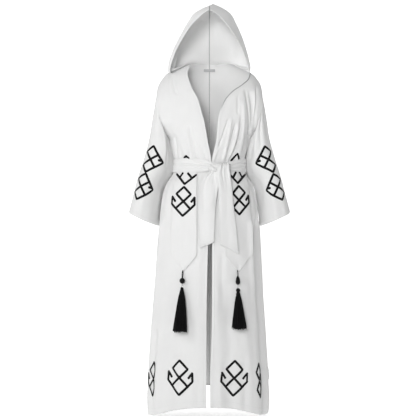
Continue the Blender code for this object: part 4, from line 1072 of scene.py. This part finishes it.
def knot_heart(along, turn):
    """The heart: half rings, open to the belt, whose radius carries slanting creases, a sum of sines."""
    x = HEART["x"][0] + (HEART["x"][-1] - HEART["x"][0]) * along[:, None]
    z = read(HEART, "z", x, "x")
    high, deep = read(HEART, "half_height", x, "x"), read(HEART, "half_depth", x, "x")
    slant = turn * 3.0 + along[:, None] * 13.0
    creases = 1 + sum(size * np.sin(pitch * slant + phase) for size, pitch, phase in HEART_CREASES)
    height = z + high * np.sin(turn) * (0.92 + 0.08 * creases)
    depth = 2 * deep * np.cos(turn) * creases
    forward = front_y(x + 0 * depth, height) - KNOT_SEAT - depth
    return np.stack([np.broadcast_to(x, depth.shape), forward, height], axis=-1)


KNOT_CLOTH = muslin("muslin_knot")
points = knot_heart(np.linspace(0, 1, 100), np.linspace(-math.pi / 2, math.pi / 2, 72))
normal = grid_normals(points, points - HEART_BACK)
points = points + normal * crumple(points, HEART_CRUMPLE)[..., None]
skins = sewn_skins(points, normal, {}, {})
heart, flat, area = cloth_piece("knot_heart", points, skins, KNOT_CLOTH)
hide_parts("belt_knot")

# The hanging ends: their outlines, their slanted feet, and a few soft folds that die out downwards.
RIGHT_END = columns(
    "z left right stand_off",
    (-0.378, 0.006, 0.04, 0.017),
    (-0.389, -0.006, 0.04, 0.019),
    (-0.403, -0.0218, 0.0385, 0.018),
    (-0.4388, -0.0396, 0.0352, 0.015),
    (-0.5, -0.0435, 0.027, 0.012),
    (-0.5693, -0.045, 0.0214, 0.011),
    (-0.7, -0.037, 0.0175, 0.011),
)
LEFT_END = columns(
    "z left right stand_off",
    (-0.35, 0.037, 0.076, 0.011),
    (-0.354, 0.035, 0.0775, 0.029),
    (-0.362, 0.0335, 0.078, 0.037),
    (-0.372, 0.0315, 0.0785, 0.039),
    (-0.389, 0.0275, 0.0815, 0.033),
    (-0.412, 0.0295, 0.085, 0.025),
    (-0.44, 0.034, 0.0885, 0.02),
    (-0.514, 0.0376, 0.0945, 0.015),
    (-0.5693, 0.0388, 0.102, 0.013),
    (-0.72, 0.042, 0.1165, 0.012),
)
END_HEM = 0.012
END_BACK = (0, 0.3, -0.5)
END_SIDE_HEM = 0.006
END_CRUMPLE = 0.0006
WAVE_FADE = 0.17         # share of the length over which the folds die out
# Heights of a foot's two corners, the one on the wearer's right first, then the folds: size, number of turns
# across, phase, drift downwards and the share that is left at the foot.
RIGHT_CUT = ((-0.6868, -0.6635), ((0.0020, 1.1, 0.30, 0.20, 0.55), (0.0022, 2.7, 0.1, -0.90, 0.0),
                                  (0.0012, 4.6, 0.4, 0.5, 0.0)))
LEFT_CUT = ((-0.6715, -0.7090), ((0.0020, 1.2, 0.05, 0.20, 0.55), (0.0026, 2.9, 0.5, 0.80, 0.0),
                                 (0.0013, 4.8, 0.8, -0.4, 0.0)))


def belt_end(outline, corners, waves, u, v):
    """A hanging end: its sides draw together at the knot, and soft lengthwise folds die out downwards."""
    foot = corners[0] + (corners[1] - corners[0]) * u[None, :]
    z = outline["z"][0] + (foot - outline["z"][0]) * v[:, None]
    left, right = read(outline, "left", z), read(outline, "right", z)
    x = left + (right - left) * u[None, :]
    lift = read(outline, "stand_off", z)
    for size, turns, phase, drift, keep in waves:
        soften = keep + (1 - keep) * bell(v[:, None], WAVE_FADE)
        lift = lift + size * soften * np.sin(2 * math.pi * (turns * u[None, :] + phase + drift * v[:, None]))
    points, _ = front_skin(x, z, 0.0)
    points[..., 1] -= lift
    return points


END_CLOTH = muslin("muslin_belt_end", END_STITCH, END_HEM - STITCH_INSET)
end_u = np.concatenate([[0, 0.02, 0.05, 0.08], np.linspace(0.12, 0.88, 44), [0.92, 0.95, 0.98, 1.0]])
end_v = np.concatenate([np.linspace(0, 0.955, 110), [0.962, 0.970, 0.980, 0.990, 0.997, 1.0]])
for word, outline, (corners, waves) in (("right", RIGHT_END, RIGHT_CUT), ("left", LEFT_END, LEFT_CUT)):
    points = belt_end(outline, corners, waves, end_u, end_v)
    normal = grid_normals(points, points - END_BACK)
    points = points + normal * crumple(points, END_CRUMPLE)[..., None]
    skins = sewn_skins(points, normal, {}, {"foot": END_HEM, "inner": END_SIDE_HEM, "outer": END_SIDE_HEM})
    piece, flat, area = cloth_piece(f"belt_end_{word}_cloth", points, skins, END_CLOTH, nearer=("outer",))
    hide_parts(f"belt_end_{word}")


# Tassels. From each tab's point hang a black cord loop, a bead wound with thread, a bright wire link, and
# a tassel of fine silky threads bound at its head; the left one has a small round knot above the head.
TASSELS = columns(
    "side loop cord bead_height bead_width link knot length swing",
    (-1, 0.022, 0.0014, 0.011, 0.0108, 0.013, 0, 0.173, -0.009),
    (1, 0.014, 0.0009, 0.0175, 0.0112, 0.013, 0.0085, 0.159, 0.005),
)
LOOP_HALF_WIDTH = 0.0017
WIRE_HALF_WIDTH = 0.0016
WIRE_RADIUS = 0.0006
HEAD_LENGTH = 0.014
KNOT_LENGTH = 1.2        # length of a knot and its binding for each unit of the knot's radius
TASSEL_SHIFT = 0.0025    # how far the line of pieces hangs to the wearer's right of the tab's point
LOOP_START = 0.006       # how far up the tab the cord is sewn on
TIP_CLEAR = 0.0012       # how far the cord bulges forward over the tab's point
TIP_REACH = 0.004
CORD_IN_BEAD = 0.001     # how far the cord, the wire and the threads run into the next piece
WIRE_IN_BEAD = 0.0015
WIRE_IN_HEAD = 0.001
THREADS_IN_HEAD = 0.004
# Radius and height below its top of a tassel's head, and of the binding below a knot.
HEAD = ((0.0006, 0.0), (0.0030, -0.0006), (0.0052, -0.0030), (0.0064, -0.0060), (0.0060, -0.0076),
        (0.0068, -0.0092), (0.0062, -0.0108), (0.0072, -0.0130), (0.0086, -0.0180), (0.0040, -0.0190))
BINDING = ((0.0062, -0.0170), (0.0072, -0.0186), (0.0078, -0.0205), (0.0092, -0.0250), (0.0040, -0.0260))
# How far the threads spread at shares of their length.
THREAD_SPREAD = ((0, 0.18, 0.37, 0.55, 0.75, 1), (0.0060, 0.0128, 0.0170, 0.0202, 0.0235, 0.0275))
# How far the tassel's line stands off the skirt at shares of its whole length.
STAND_OFF = ((0, 0.12, 1), (0.0048, 0.0150, 0.0380))
THREADS = 150
THREAD_RADIUS = 0.00075
THREAD_SWAY = 0.0011
GOLDEN_ANGLE = 2.39996   # spreads the threads evenly over the head
BLACK = ((0.0020, 0.0020, 0.0022, 1), (0.010, 0.010, 0.011, 1))


def black_silk(name, ridge_pitch):
    """Black silky thread: fine ridges across the piece's own UV map and a soft, uneven shine."""
    silk = Finish(name, Roughness=0.42, Specular_IOR_Level=0.16, Sheen_Weight=0.015, Sheen_Roughness=0.35)
    place = silk.add("ShaderNodeUVMap", {"uv_map": "cloth"}, {})
    uneven = silk.add("ShaderNodeTexNoise", {}, {"Vector": place, "Scale": 180.0, "Detail": 2.0})
    ridges = (part(silk, place, 1) * (2 * math.pi / ridge_pitch) + uneven * 2.0).sine()
    silk.into("Base Color", blend(silk, (ridges * 0.5 + 0.5) * uneven, *BLACK))
    silk.into("Roughness", uneven * 0.35 + 0.30)
    relief(silk, ridges * (0.12 * ridge_pitch))
    return silk.material


def thread_piece(name, points, faces, uv, finish):
    """A closed piece from points and faces, turned to look outwards, with a UV place for each point."""
    piece = new_piece(name, points, faces, uv[np.concatenate(faces)], finish)
    mesh = piece.data
    mesh.calc_loop_triangles()
    triangles = np.zeros(len(mesh.loop_triangles) * 3, int)
    mesh.loop_triangles.foreach_get("vertices", triangles)
    a, b, c = points[triangles.reshape(-1, 3)].transpose(1, 0, 2)
    if np.sum(np.cross(a, b) * c) < 0:
        mesh.flip_normals()
    return piece


def tubes(name, paths, radius, finish, sides=6, flatten=None, closed=False):
    """Closed tubes along many paths at once. Each ring lies across its path's own direction; paths has the
    shape tubes, rings, 3, and radius fits tubes, rings. A closed path has no caps."""
    paths = np.asarray(paths, float)
    count, rings = paths.shape[:2]
    if closed:
        run = unit(np.roll(paths, -1, axis=1) - np.roll(paths, 1, axis=1))
    else:
        run = unit(np.gradient(paths, axis=1))
    aside = unit(np.cross(run, [0.31, 0.87, 0.38] if flatten is None else flatten[0]))
    up = np.cross(aside, run)
    turn = np.linspace(0, 2 * math.pi, sides, endpoint=False)
    radius, high = (np.broadcast_to(reach, (count, rings))[..., None, None]
                    for reach in (radius, radius if flatten is None else flatten[1]))
    shell = (paths[:, :, None] + aside[:, :, None] * np.cos(turn)[:, None] * radius
             + up[:, :, None] * np.sin(turn)[:, None] * high)
    index = np.arange(count * rings * sides).reshape(count, rings, sides)
    around = np.concatenate([index, index[..., :1]], axis=2)
    if closed:
        around = np.concatenate([around, around[:, :1]], axis=1)
    faces = grid_faces(around).tolist()
    if not closed:
        faces += index[:, 0, ::-1].tolist() + index[:, -1].tolist()
    uv = np.stack(np.broadcast_arrays(turn / (2 * math.pi) * 0.004,
                                      lengths(paths, 1)[..., None]), -1)
    return thread_piece(name, shell.reshape(-1, 3), faces, uv.reshape(-1, 2), finish)


def turned(name, profile, place, finish, sides=40):
    """A turned piece: rings of radius and height round the upright axis, each end closed by its cap."""
    radius, height = np.array(profile, float).T
    turn = np.linspace(0, 2 * math.pi, sides, endpoint=False)
    rings = np.stack([radius[:, None] * np.cos(turn), radius[:, None] * np.sin(turn),
                      np.broadcast_to(height[:, None], (len(radius), sides))], axis=-1) + place
    index = np.arange(len(radius) * sides).reshape(-1, sides)
    around = np.concatenate([index, index[:, :1]], axis=1)
    faces = grid_faces(around).tolist() + [index[0][::-1].tolist(), index[-1].tolist()]
    uv = np.stack(np.broadcast_arrays(turn / (2 * math.pi) * 0.03, height[:, None]), -1)
    return thread_piece(name, rings.reshape(-1, 3), faces, uv.reshape(-1, 2), finish)


def upright_ring(top, foot, half_width):
    """An oval ring of places between its top and its foot."""
    turn = np.linspace(0, 2 * math.pi, 28, endpoint=False)[:, None]
    return (top + foot) / 2 + (top - foot) / 2 * np.cos(turn) + half_width * np.sin(turn) * [1, 0, 0]


WOUND_SILK = black_silk("black_silk_wound", 0.0011)
THREAD_SILK = black_silk("black_silk_threads", 0.0040)
bright_wire = Finish("bright_wire", Base_Color=(0.62, 0.62, 0.63, 1), Metallic=1.0, Roughness=0.22)
wear = bright_wire.add("ShaderNodeTexNoise", {}, {"Scale": 900.0, "Detail": 2.0})
bright_wire.into("Roughness", wear * 0.25 + 0.14)
rng = np.random.default_rng(7)

for side, loop, cord, bead_height, bead_width, link, knot, length, swing in zip(*TASSELS.values()):
    word = "right" if side < 0 else "left"
    x = TAB_CENTRE + side * TAB_TIP_X
    total = loop + 2 * bead_height + link + length
    tip, foot = (body(side, -1, *front_angle(np.array(x), np.array(level))[1:], False)
                 for level in (TAB_TIP_Z, TAB_TIP_Z - total))

    def hang(drop):
        """Places on the tassel's line: it lies on the skirt and leans out with it as it drops."""
        drop = np.asarray(drop, float)
        share = drop / total
        y = tip[1] + (foot[1] - tip[1]) * share - np.interp(share, *STAND_OFF)
        return np.stack([x - TASSEL_SHIFT + swing * share, y, tip[2] - drop], axis=-1)

    bead_place = hang(loop + bead_height)
    ring = upright_ring(hang(-LOOP_START), bead_place + [0, 0, bead_height - CORD_IN_BEAD], LOOP_HALF_WIDTH)
    ring[:, 1] -= TIP_CLEAR * bell(ring[:, 2] - tip[2], TIP_REACH)
    loop_piece = tubes(f"tassel_{word}_cord", [ring], cord, WOUND_SILK, 10, closed=True)
    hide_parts(f"tassel_{word}_loop")
    slope = np.linspace(0.05, math.pi - 0.05, 30)
    bulge = bead_width * np.sin(slope)**0.9 * (1 + 0.035 * np.sin(14 * slope))
    if knot:
        bulge = bulge * (0.50 + 0.50 * (1 + np.cos(slope)) / 2)
    bead = turned(f"tassel_{word}_wound_bead", np.stack([bulge, -bead_height * np.cos(slope)], -1),
                  bead_place, WOUND_SILK)
    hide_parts(f"tassel_{word}_bead")
    top = loop + 2 * bead_height + link
    ring = upright_ring(bead_place - [0, 0, bead_height - WIRE_IN_BEAD], hang(top) - [0, 0, WIRE_IN_HEAD],
                        WIRE_HALF_WIDTH)
    wire = tubes(f"tassel_{word}_wire", [ring], WIRE_RADIUS, bright_wire.material, 8,
                 closed=True)
    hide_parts(f"tassel_{word}_link")
    profile = HEAD
    if knot:
        ball = [(knot * math.sin(a), -knot * (1 - math.cos(a))) for a in np.linspace(0.1, 2.6, 12)]
        profile = (*ball, *BINDING)
    turned(f"tassel_{word}_head", profile, hang(top), WOUND_SILK, 32)
    bound = HEAD_LENGTH + KNOT_LENGTH * knot
    number = np.arange(THREADS)
    spiral = number * GOLDEN_ANGLE
    spread = np.sqrt((number + 0.5) / THREADS)
    away = np.stack([np.cos(spiral), np.sin(spiral), 0 * spiral], -1)
    drop = np.linspace(0, 1, 11)
    ends = (length - bound) * rng.uniform(0.95, 1.01, THREADS)
    sway = rng.normal(0, THREAD_SWAY, (THREADS, 2))
    paths = hang(top + bound - THREADS_IN_HEAD + ends[:, None] * drop)
    paths = paths + away[:, None, :] * (spread[:, None] * np.interp(drop, *THREAD_SPREAD))[..., None]
    paths[..., 0] += sway[:, :1] * np.sin(5 * drop + spiral[:, None]) * drop
    paths[..., 1] += sway[:, 1:] * np.cos(4 * drop + spiral[:, None]) * drop
    thin = THREAD_RADIUS * (1 + 0.9 * drop) * rng.uniform(0.85, 1.15, (THREADS, 1))
    threads = tubes(f"tassel_{word}_threads", paths, thin, THREAD_SILK, 5)
    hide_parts(f"tassel_{word}")


# Neck label. A small blank woven tab of white satin, sewn inside the centre back just under the neck seam.
# It runs over both halves of the back and lies clear of their seam allowances.
LABEL_WIDTH = 0.050
LABEL_HEIGHT = 0.011
LABEL_THICKNESS = 0.0005
LABEL_DROP = 0.022
LABEL_CLEAR = 0.0040     # how far inside the back's outer face it lies
RIB_PITCH = 0.0005
RIB_HEIGHT = 0.00003
YOKE_HEIGHT = 0.313      # from the neck's edge down to the underarm

satin = Finish("label_satin", Roughness=0.45, Specular_IOR_Level=0.4, Sheen_Weight=0.1)
place = satin.add("ShaderNodeUVMap", {"uv_map": "cloth"}, {})
ribs = (part(satin, place, 1) * (2 * math.pi / RIB_PITCH)).sine()
satin.into("Base Color", blend(satin, ribs * 0.5 + 0.5, (0.46, 0.46, 0.47, 1), (0.60, 0.60, 0.61, 1)))
relief(satin, ribs * RIB_HEIGHT)
label_x = np.linspace(-LABEL_WIDTH / 2, LABEL_WIDTH / 2, 31)
label_rows = (LABEL_DROP + np.linspace(-LABEL_HEIGHT / 2, LABEL_HEIGHT / 2, 9)) / YOKE_HEIGHT
half, _, _ = body_frame(label_rows, np.full(9, UNDERARM_Z), 1)
across = np.degrees(np.arcsin(np.abs(label_x)[None, :] / half[:, None]))
row = np.broadcast_to(label_rows[:, None], across.shape)
points, normal = body(1, 1, across, row, False), body_normals(1, 1, across, row)
for array in (points, normal):
    array[..., 0] = np.abs(array[..., 0]) * np.sign(label_x)
near = points - normal * LABEL_CLEAR
skins = (near, near - normal * LABEL_THICKNESS)
label, flat, area = cloth_piece("neck_label_woven", points, skins, satin.material)
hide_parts("neck_label")


# Embroidery. Geometric motifs in thick black satin stitch: hooked double diamonds round the hem and on the
# hips, and cross-hatched diamonds on the sleeves. Each line is a padded cord of stitches on the cloth.
LINE_WIDTH = 0.0094
LINE_HEIGHT = 0.0011
LINE_LIFT = 0.0004       # how far a line's middle lies above the cloth
LINE_OVERRUN = 0.40      # share of its width by which a line runs past its two ends
# Lines of a motif in steps of half its diamond: s runs to the right and t up.
HOOKED = (((0, 2), (1, 1)), ((1, 1), (-0.96, -0.96)), ((0, 2), (-1, 1)), ((-1, 1), (0.96, -0.96)),
          ((0, -2.03), (1.62, -0.40)), ((0, -2.03), (-1.62, -0.40)), ((1.60, -0.40), (1.56, 0.58)),
          ((-1.60, -0.40), (-1.56, 0.58)), ((1.56, 0.58), (1.12, -0.02)), ((-1.56, 0.58), (-1.12, -0.02)))
FOLDED_IN = HOOKED[:4] + (((0, -2.03), (1.0, -1.03)),) + HOOKED[5:6] + HOOKED[7:8] + HOOKED[9:]
CELLS = (((0, 2), (2, 0)), ((2, 0), (0, -2)), ((0, 2), (-1, 1)), ((-1, 1), (1, -1)), ((1, 1), (-1, -1)),
         ((-1, -1), (0, -2)), ((1.75, 0.25), (1.25, 0.22)))


def mirrored(lines):
    """A motif's lines with left and right changed over."""
    return tuple(((-a, b), (-c, d)) for (a, b), (c, d) in lines)


def cropped(lines, low, high):
    """The parts of a motif's lines that lie between two heights."""
    kept = []
    for (a, b), (c, d) in lines:
        first, last = sorted(((low - b) / (d - b), (high - b) / (d - b)))
        first, last = max(first, 0.0), min(last, 1.0)
        if last - first > 0.05:
            ends = ((a + (c - a) * at, b + (d - b) * at) for at in (first, last))
            kept.append(tuple(ends))
    return tuple(kept)


def stitched(name, motifs):
    """Padded lines of stitches: each straight line of a motif, turned by its tilt with the top to the right,
    is laid over the cloth through its surface; a flat closed tube, rounded at its ends, runs along it."""
    paths, lifts = [], []
    run = np.linspace(0, 1, 18)
    for lines, size, tilt, surface in motifs:
        turn = math.radians(tilt)
        turned_by = [[math.cos(turn), -math.sin(turn)], [math.sin(turn), math.cos(turn)]]
        ends = np.array(lines, float) * size @ turned_by
        reach = unit(ends[:, 1] - ends[:, 0]) * LINE_WIDTH * LINE_OVERRUN
        start, stop = ends[:, 0] - reach, ends[:, 1] + reach
        flat = start[:, None] + (stop - start)[:, None] * run[None, :, None]
        points, normal = surface(flat[..., 0], flat[..., 1])
        paths.append(points)
        lifts.append(normal)
    paths, lifts = np.concatenate(paths), np.concatenate(lifts)
    taper = np.sqrt(np.clip(1 - np.abs(2 * run - 1)**14, 0.02, 1))[None, :]
    width = np.broadcast_to(LINE_WIDTH / 2 * taper, paths.shape[:2])
    return tubes(name, paths + lifts * LINE_LIFT, width, STITCH_SILK, 10,
                 flatten=(lifts, LINE_HEIGHT * taper))


def on_front(x_middle, z_middle, left=1.0, right=1.0, drop=0.0, tab=True):
    """A place on the fronts or tabs: left and right scale the level distances where the cloth turns away,
    and drop lowers what lies to the side."""
    def surface(s, t):
        x = x_middle + s * np.where(s < 0, left, right)
        z = z_middle + t - drop * np.abs(s)
        lift = 0.0
        if tab:
            inner, outer = tab_outline(z)
            u = np.clip((np.abs(x - TAB_CENTRE) - inner) / (outer - inner), 0, 1)
            lift = tab_lift(x_middle, u, z) + LAYER / 2
        return front_skin(x, z, lift)
    return surface


def on_skirt(angle_middle, z_middle, gather=1.0):
    """A place on the skirt at an angle round it; gather draws a motif together over its folds."""
    def surface(s, t):
        scale = np.linspace(-180, 180, 1441)
        level, _ = round_body(scale, row_at(z_middle, scale))
        arc = lengths(level)
        middle = np.interp(angle_middle, scale, arc)
        angle = np.interp(middle + s * gather, arc, scale)
        points, normal = round_body(angle, row_at(z_middle + t, angle))
        return points + normal * fold_lift(angle, points)[..., None], normal
    return surface


def on_sleeve(side, around_middle, at_middle):
    """A flat place on a sleeve: t runs up along it and s square to that, round it towards the front."""
    def surface(s, t):
        fine_around = np.radians(np.linspace(-120, 200, 321))
        fine_at = np.linspace(0.25, 1.0, 160)
        grid = sleeve(side, fine_around, fine_at)
        normal = side * unit(np.cross(np.gradient(grid, axis=1), np.gradient(grid, axis=0)))
        row = np.argmin(np.abs(fine_at - at_middle))
        column = np.argmin(np.abs(np.degrees(fine_around) - around_middle))
        arc, rise = lengths(grid[row]), lengths(grid[:, column])
        down, over = grid[row + 1, column] - grid[row, column], grid[row, column + 1] - grid[row, column]
        lean = math.acos(np.dot(down, over) / (np.linalg.norm(down) * np.linalg.norm(over)))
        c = np.interp(arc[column] + s / math.sin(lean), arc, np.arange(len(arc)))
        r = np.interp(rise[row] - t - s / math.tan(lean), rise, np.arange(len(rise)))
        return between(grid, r, c), between(normal, r, c)
    return surface


def between(grid, r, c):
    """Values between a grid's points, weighted by how near each of the four is."""
    r0, c0 = np.minimum(r.astype(int), grid.shape[0] - 2), np.minimum(c.astype(int), grid.shape[1] - 2)
    a, b = (r - r0)[..., None], (c - c0)[..., None]
    return ((grid[r0, c0] * (1 - b) + grid[r0, c0 + 1] * b) * (1 - a)
            + (grid[r0 + 1, c0] * (1 - b) + grid[r0 + 1, c0 + 1] * b) * a)


STITCH_SILK = black_silk("black_silk_stitches", 0.0012)
stitched("embroidery_hem", [
    (HOOKED, 0.0331, 0.0, on_skirt(-26.6, -1.1910)),
    (HOOKED, 0.0334, 5.0, on_skirt(25.4, -1.1937)),
    (FOLDED_IN, 0.0334, 0.0, on_skirt(-63.3, -1.2126, 0.42)),
    (mirrored(FOLDED_IN), 0.0334, 0.0, on_skirt(54.5, -1.2130, 0.48)),
] + [(HOOKED, 0.0340, 0.0, on_skirt(angle, -1.2140)) for angle in (-110, 110, -152, 152)])
BELOW_BELT = -0.42       # where the belt's lower edge cuts the upper hip motifs
stitched("embroidery_hips", [
    (HOOKED, 0.0284, 2.6, on_front(-0.1028, -0.5039)),
    (HOOKED, 0.0280, -1.8, on_front(0.1160, -0.4993, 0.85, 0.85)),
    (cropped(HOOKED, -3, BELOW_BELT), 0.0276, 3.3, on_front(-0.0950, -0.3800, 0.78, 1.0, 0.15)),
    (cropped(HOOKED, -3, BELOW_BELT), 0.0297, 0.0, on_front(0.1108, -0.3725, 0.62, 0.62, 0.30)),
    (cropped(HOOKED[0:3:2], 1.50, 3), 0.0276, 3.3, on_front(-0.0974, -0.3785, 0.55, 1.36, tab=False)),
    (cropped(HOOKED[2:3], 1.05, 3), 0.0297, 0.0, on_front(0.1120, -0.3725, 0.92, 0.1, tab=False)),
    (cropped(HOOKED[0:1], 1.35, 3), 0.0297, 0.0, on_front(0.1120, -0.3725, 0.92, 0.15, tab=False)),
])
SLEEVE_MOTIF = 0.0273
stitched("embroidery_sleeves", [
    (CELLS, SLEEVE_MOTIF, 0.0, on_sleeve(-1, 54.9, 0.477)),
    (CELLS, SLEEVE_MOTIF, 5.0, on_sleeve(-1, 54.3, 0.750)),
    (CELLS, SLEEVE_MOTIF, 1.3, on_sleeve(1, 58.3, 0.475)),
    (CELLS, SLEEVE_MOTIF, 4.5, on_sleeve(1, 55.4, 0.755)),
])

# The viewpoint, the floor and the light. The garment is seen from 3.5 m, level with its hips, before a sweep
# of white paper. A soft lamp stands high on the wearer's right and a stronger one in front.
VIEW_DISTANCE = 3.5
VIEW_WIDTH = 1.7056
VIEW_HEIGHT = -0.440
PICTURE_MIDDLE = (-0.006, -0.533)
LAMPS = (("key_lamp", (-2.8, -2.6, 1.2), 1.3, 32.0), ("front_lamp", (-0.6, -3.9, 0.3), 1.0, 80.0))
LAMP_TARGET = (0.0, 0.0, -0.45)
STUDIO_LIGHT = 0.26
FLOOR_Z = -1.40
SWEEP_FRONT = -7.0
SWEEP_BEND = 1.2         # how far behind the garment's middle the paper starts to rise
SWEEP_RADIUS = 1.4
SWEEP_HEIGHT = 5.0
SWEEP_HALF_WIDTH = 6.0
SWEEP_GLOW = 0.85
GLOW_EDGE = 0.4          # the paper's glow grows from this far before the middle to as far behind it

camera_data = bpy.data.cameras.new("viewpoint")
camera_data.sensor_width = 36.0
camera_data.lens = 36.0 * VIEW_DISTANCE / VIEW_WIDTH
camera_data.shift_y = (PICTURE_MIDDLE[1] - VIEW_HEIGHT) / VIEW_WIDTH
camera = bpy.data.objects.new("viewpoint", camera_data)
camera.location = (PICTURE_MIDDLE[0], -VIEW_DISTANCE, VIEW_HEIGHT)
camera.rotation_euler = (math.pi / 2, 0, 0)
bpy.context.scene.collection.objects.link(camera)
bpy.context.scene.camera = camera
bpy.context.scene.view_settings.view_transform = "Standard"

for lamp_name, place, width, power in LAMPS:
    lamp_data = bpy.data.lights.new(lamp_name, "AREA")
    lamp_data.size = width
    lamp_data.energy = power
    lamp = bpy.data.objects.new(lamp_name, lamp_data)
    lamp.location = place
    lamp.visible_camera = False
    toward = unit(np.array(LAMP_TARGET) - place)
    lamp.rotation_euler = (math.acos(-toward[2]), 0, math.atan2(toward[1], toward[0]) - math.pi / 2)
    bpy.context.scene.collection.objects.link(lamp)

studio = bpy.data.worlds.new("studio")
studio.use_nodes = True
studio.node_tree.nodes["Background"].inputs["Color"].default_value = (1, 1, 1, 1)
studio.node_tree.nodes["Background"].inputs["Strength"].default_value = STUDIO_LIGHT
bpy.context.scene.world = studio

paper = Finish("white_paper", Base_Color=(0.80, 0.80, 0.80, 1), Roughness=0.9, Specular_IOR_Level=0.1,
               Emission_Strength=SWEEP_GLOW)
depth = part(paper, paper.add("ShaderNodeTexCoord", {}, {}, 3), 1)
paper.into("Emission Color", paper.add("ShaderNodeMapRange", {}, {"Value": depth, "From Min": -GLOW_EDGE,
                                                                  "From Max": GLOW_EDGE}))
bend = np.linspace(0, math.pi / 2, 24)
sweep_x = np.linspace(-SWEEP_HALF_WIDTH, SWEEP_HALF_WIDTH, 3)
sweep_y = np.concatenate([[SWEEP_FRONT, -GLOW_EDGE, GLOW_EDGE], SWEEP_BEND + SWEEP_RADIUS * np.sin(bend),
                          [SWEEP_BEND + SWEEP_RADIUS]])
sweep_z = FLOOR_Z + np.concatenate([[0, 0, 0], SWEEP_RADIUS * (1 - np.cos(bend)), [SWEEP_HEIGHT]])
points = np.stack(np.broadcast_arrays(sweep_x, sweep_y[:, None], sweep_z[:, None]), -1).reshape(-1, 3)
sweep_mesh = bpy.data.meshes.new("floor")
sweep_faces = grid_faces(np.arange(len(points)).reshape(len(sweep_y), len(sweep_x)))
sweep_mesh.from_pydata(points.tolist(), [], sweep_faces.tolist())
sweep_mesh.shade_smooth()
sweep_mesh.materials.append(paper.material)
floor = bpy.data.objects.new("floor", sweep_mesh)
bpy.context.scene.collection.objects.link(floor)
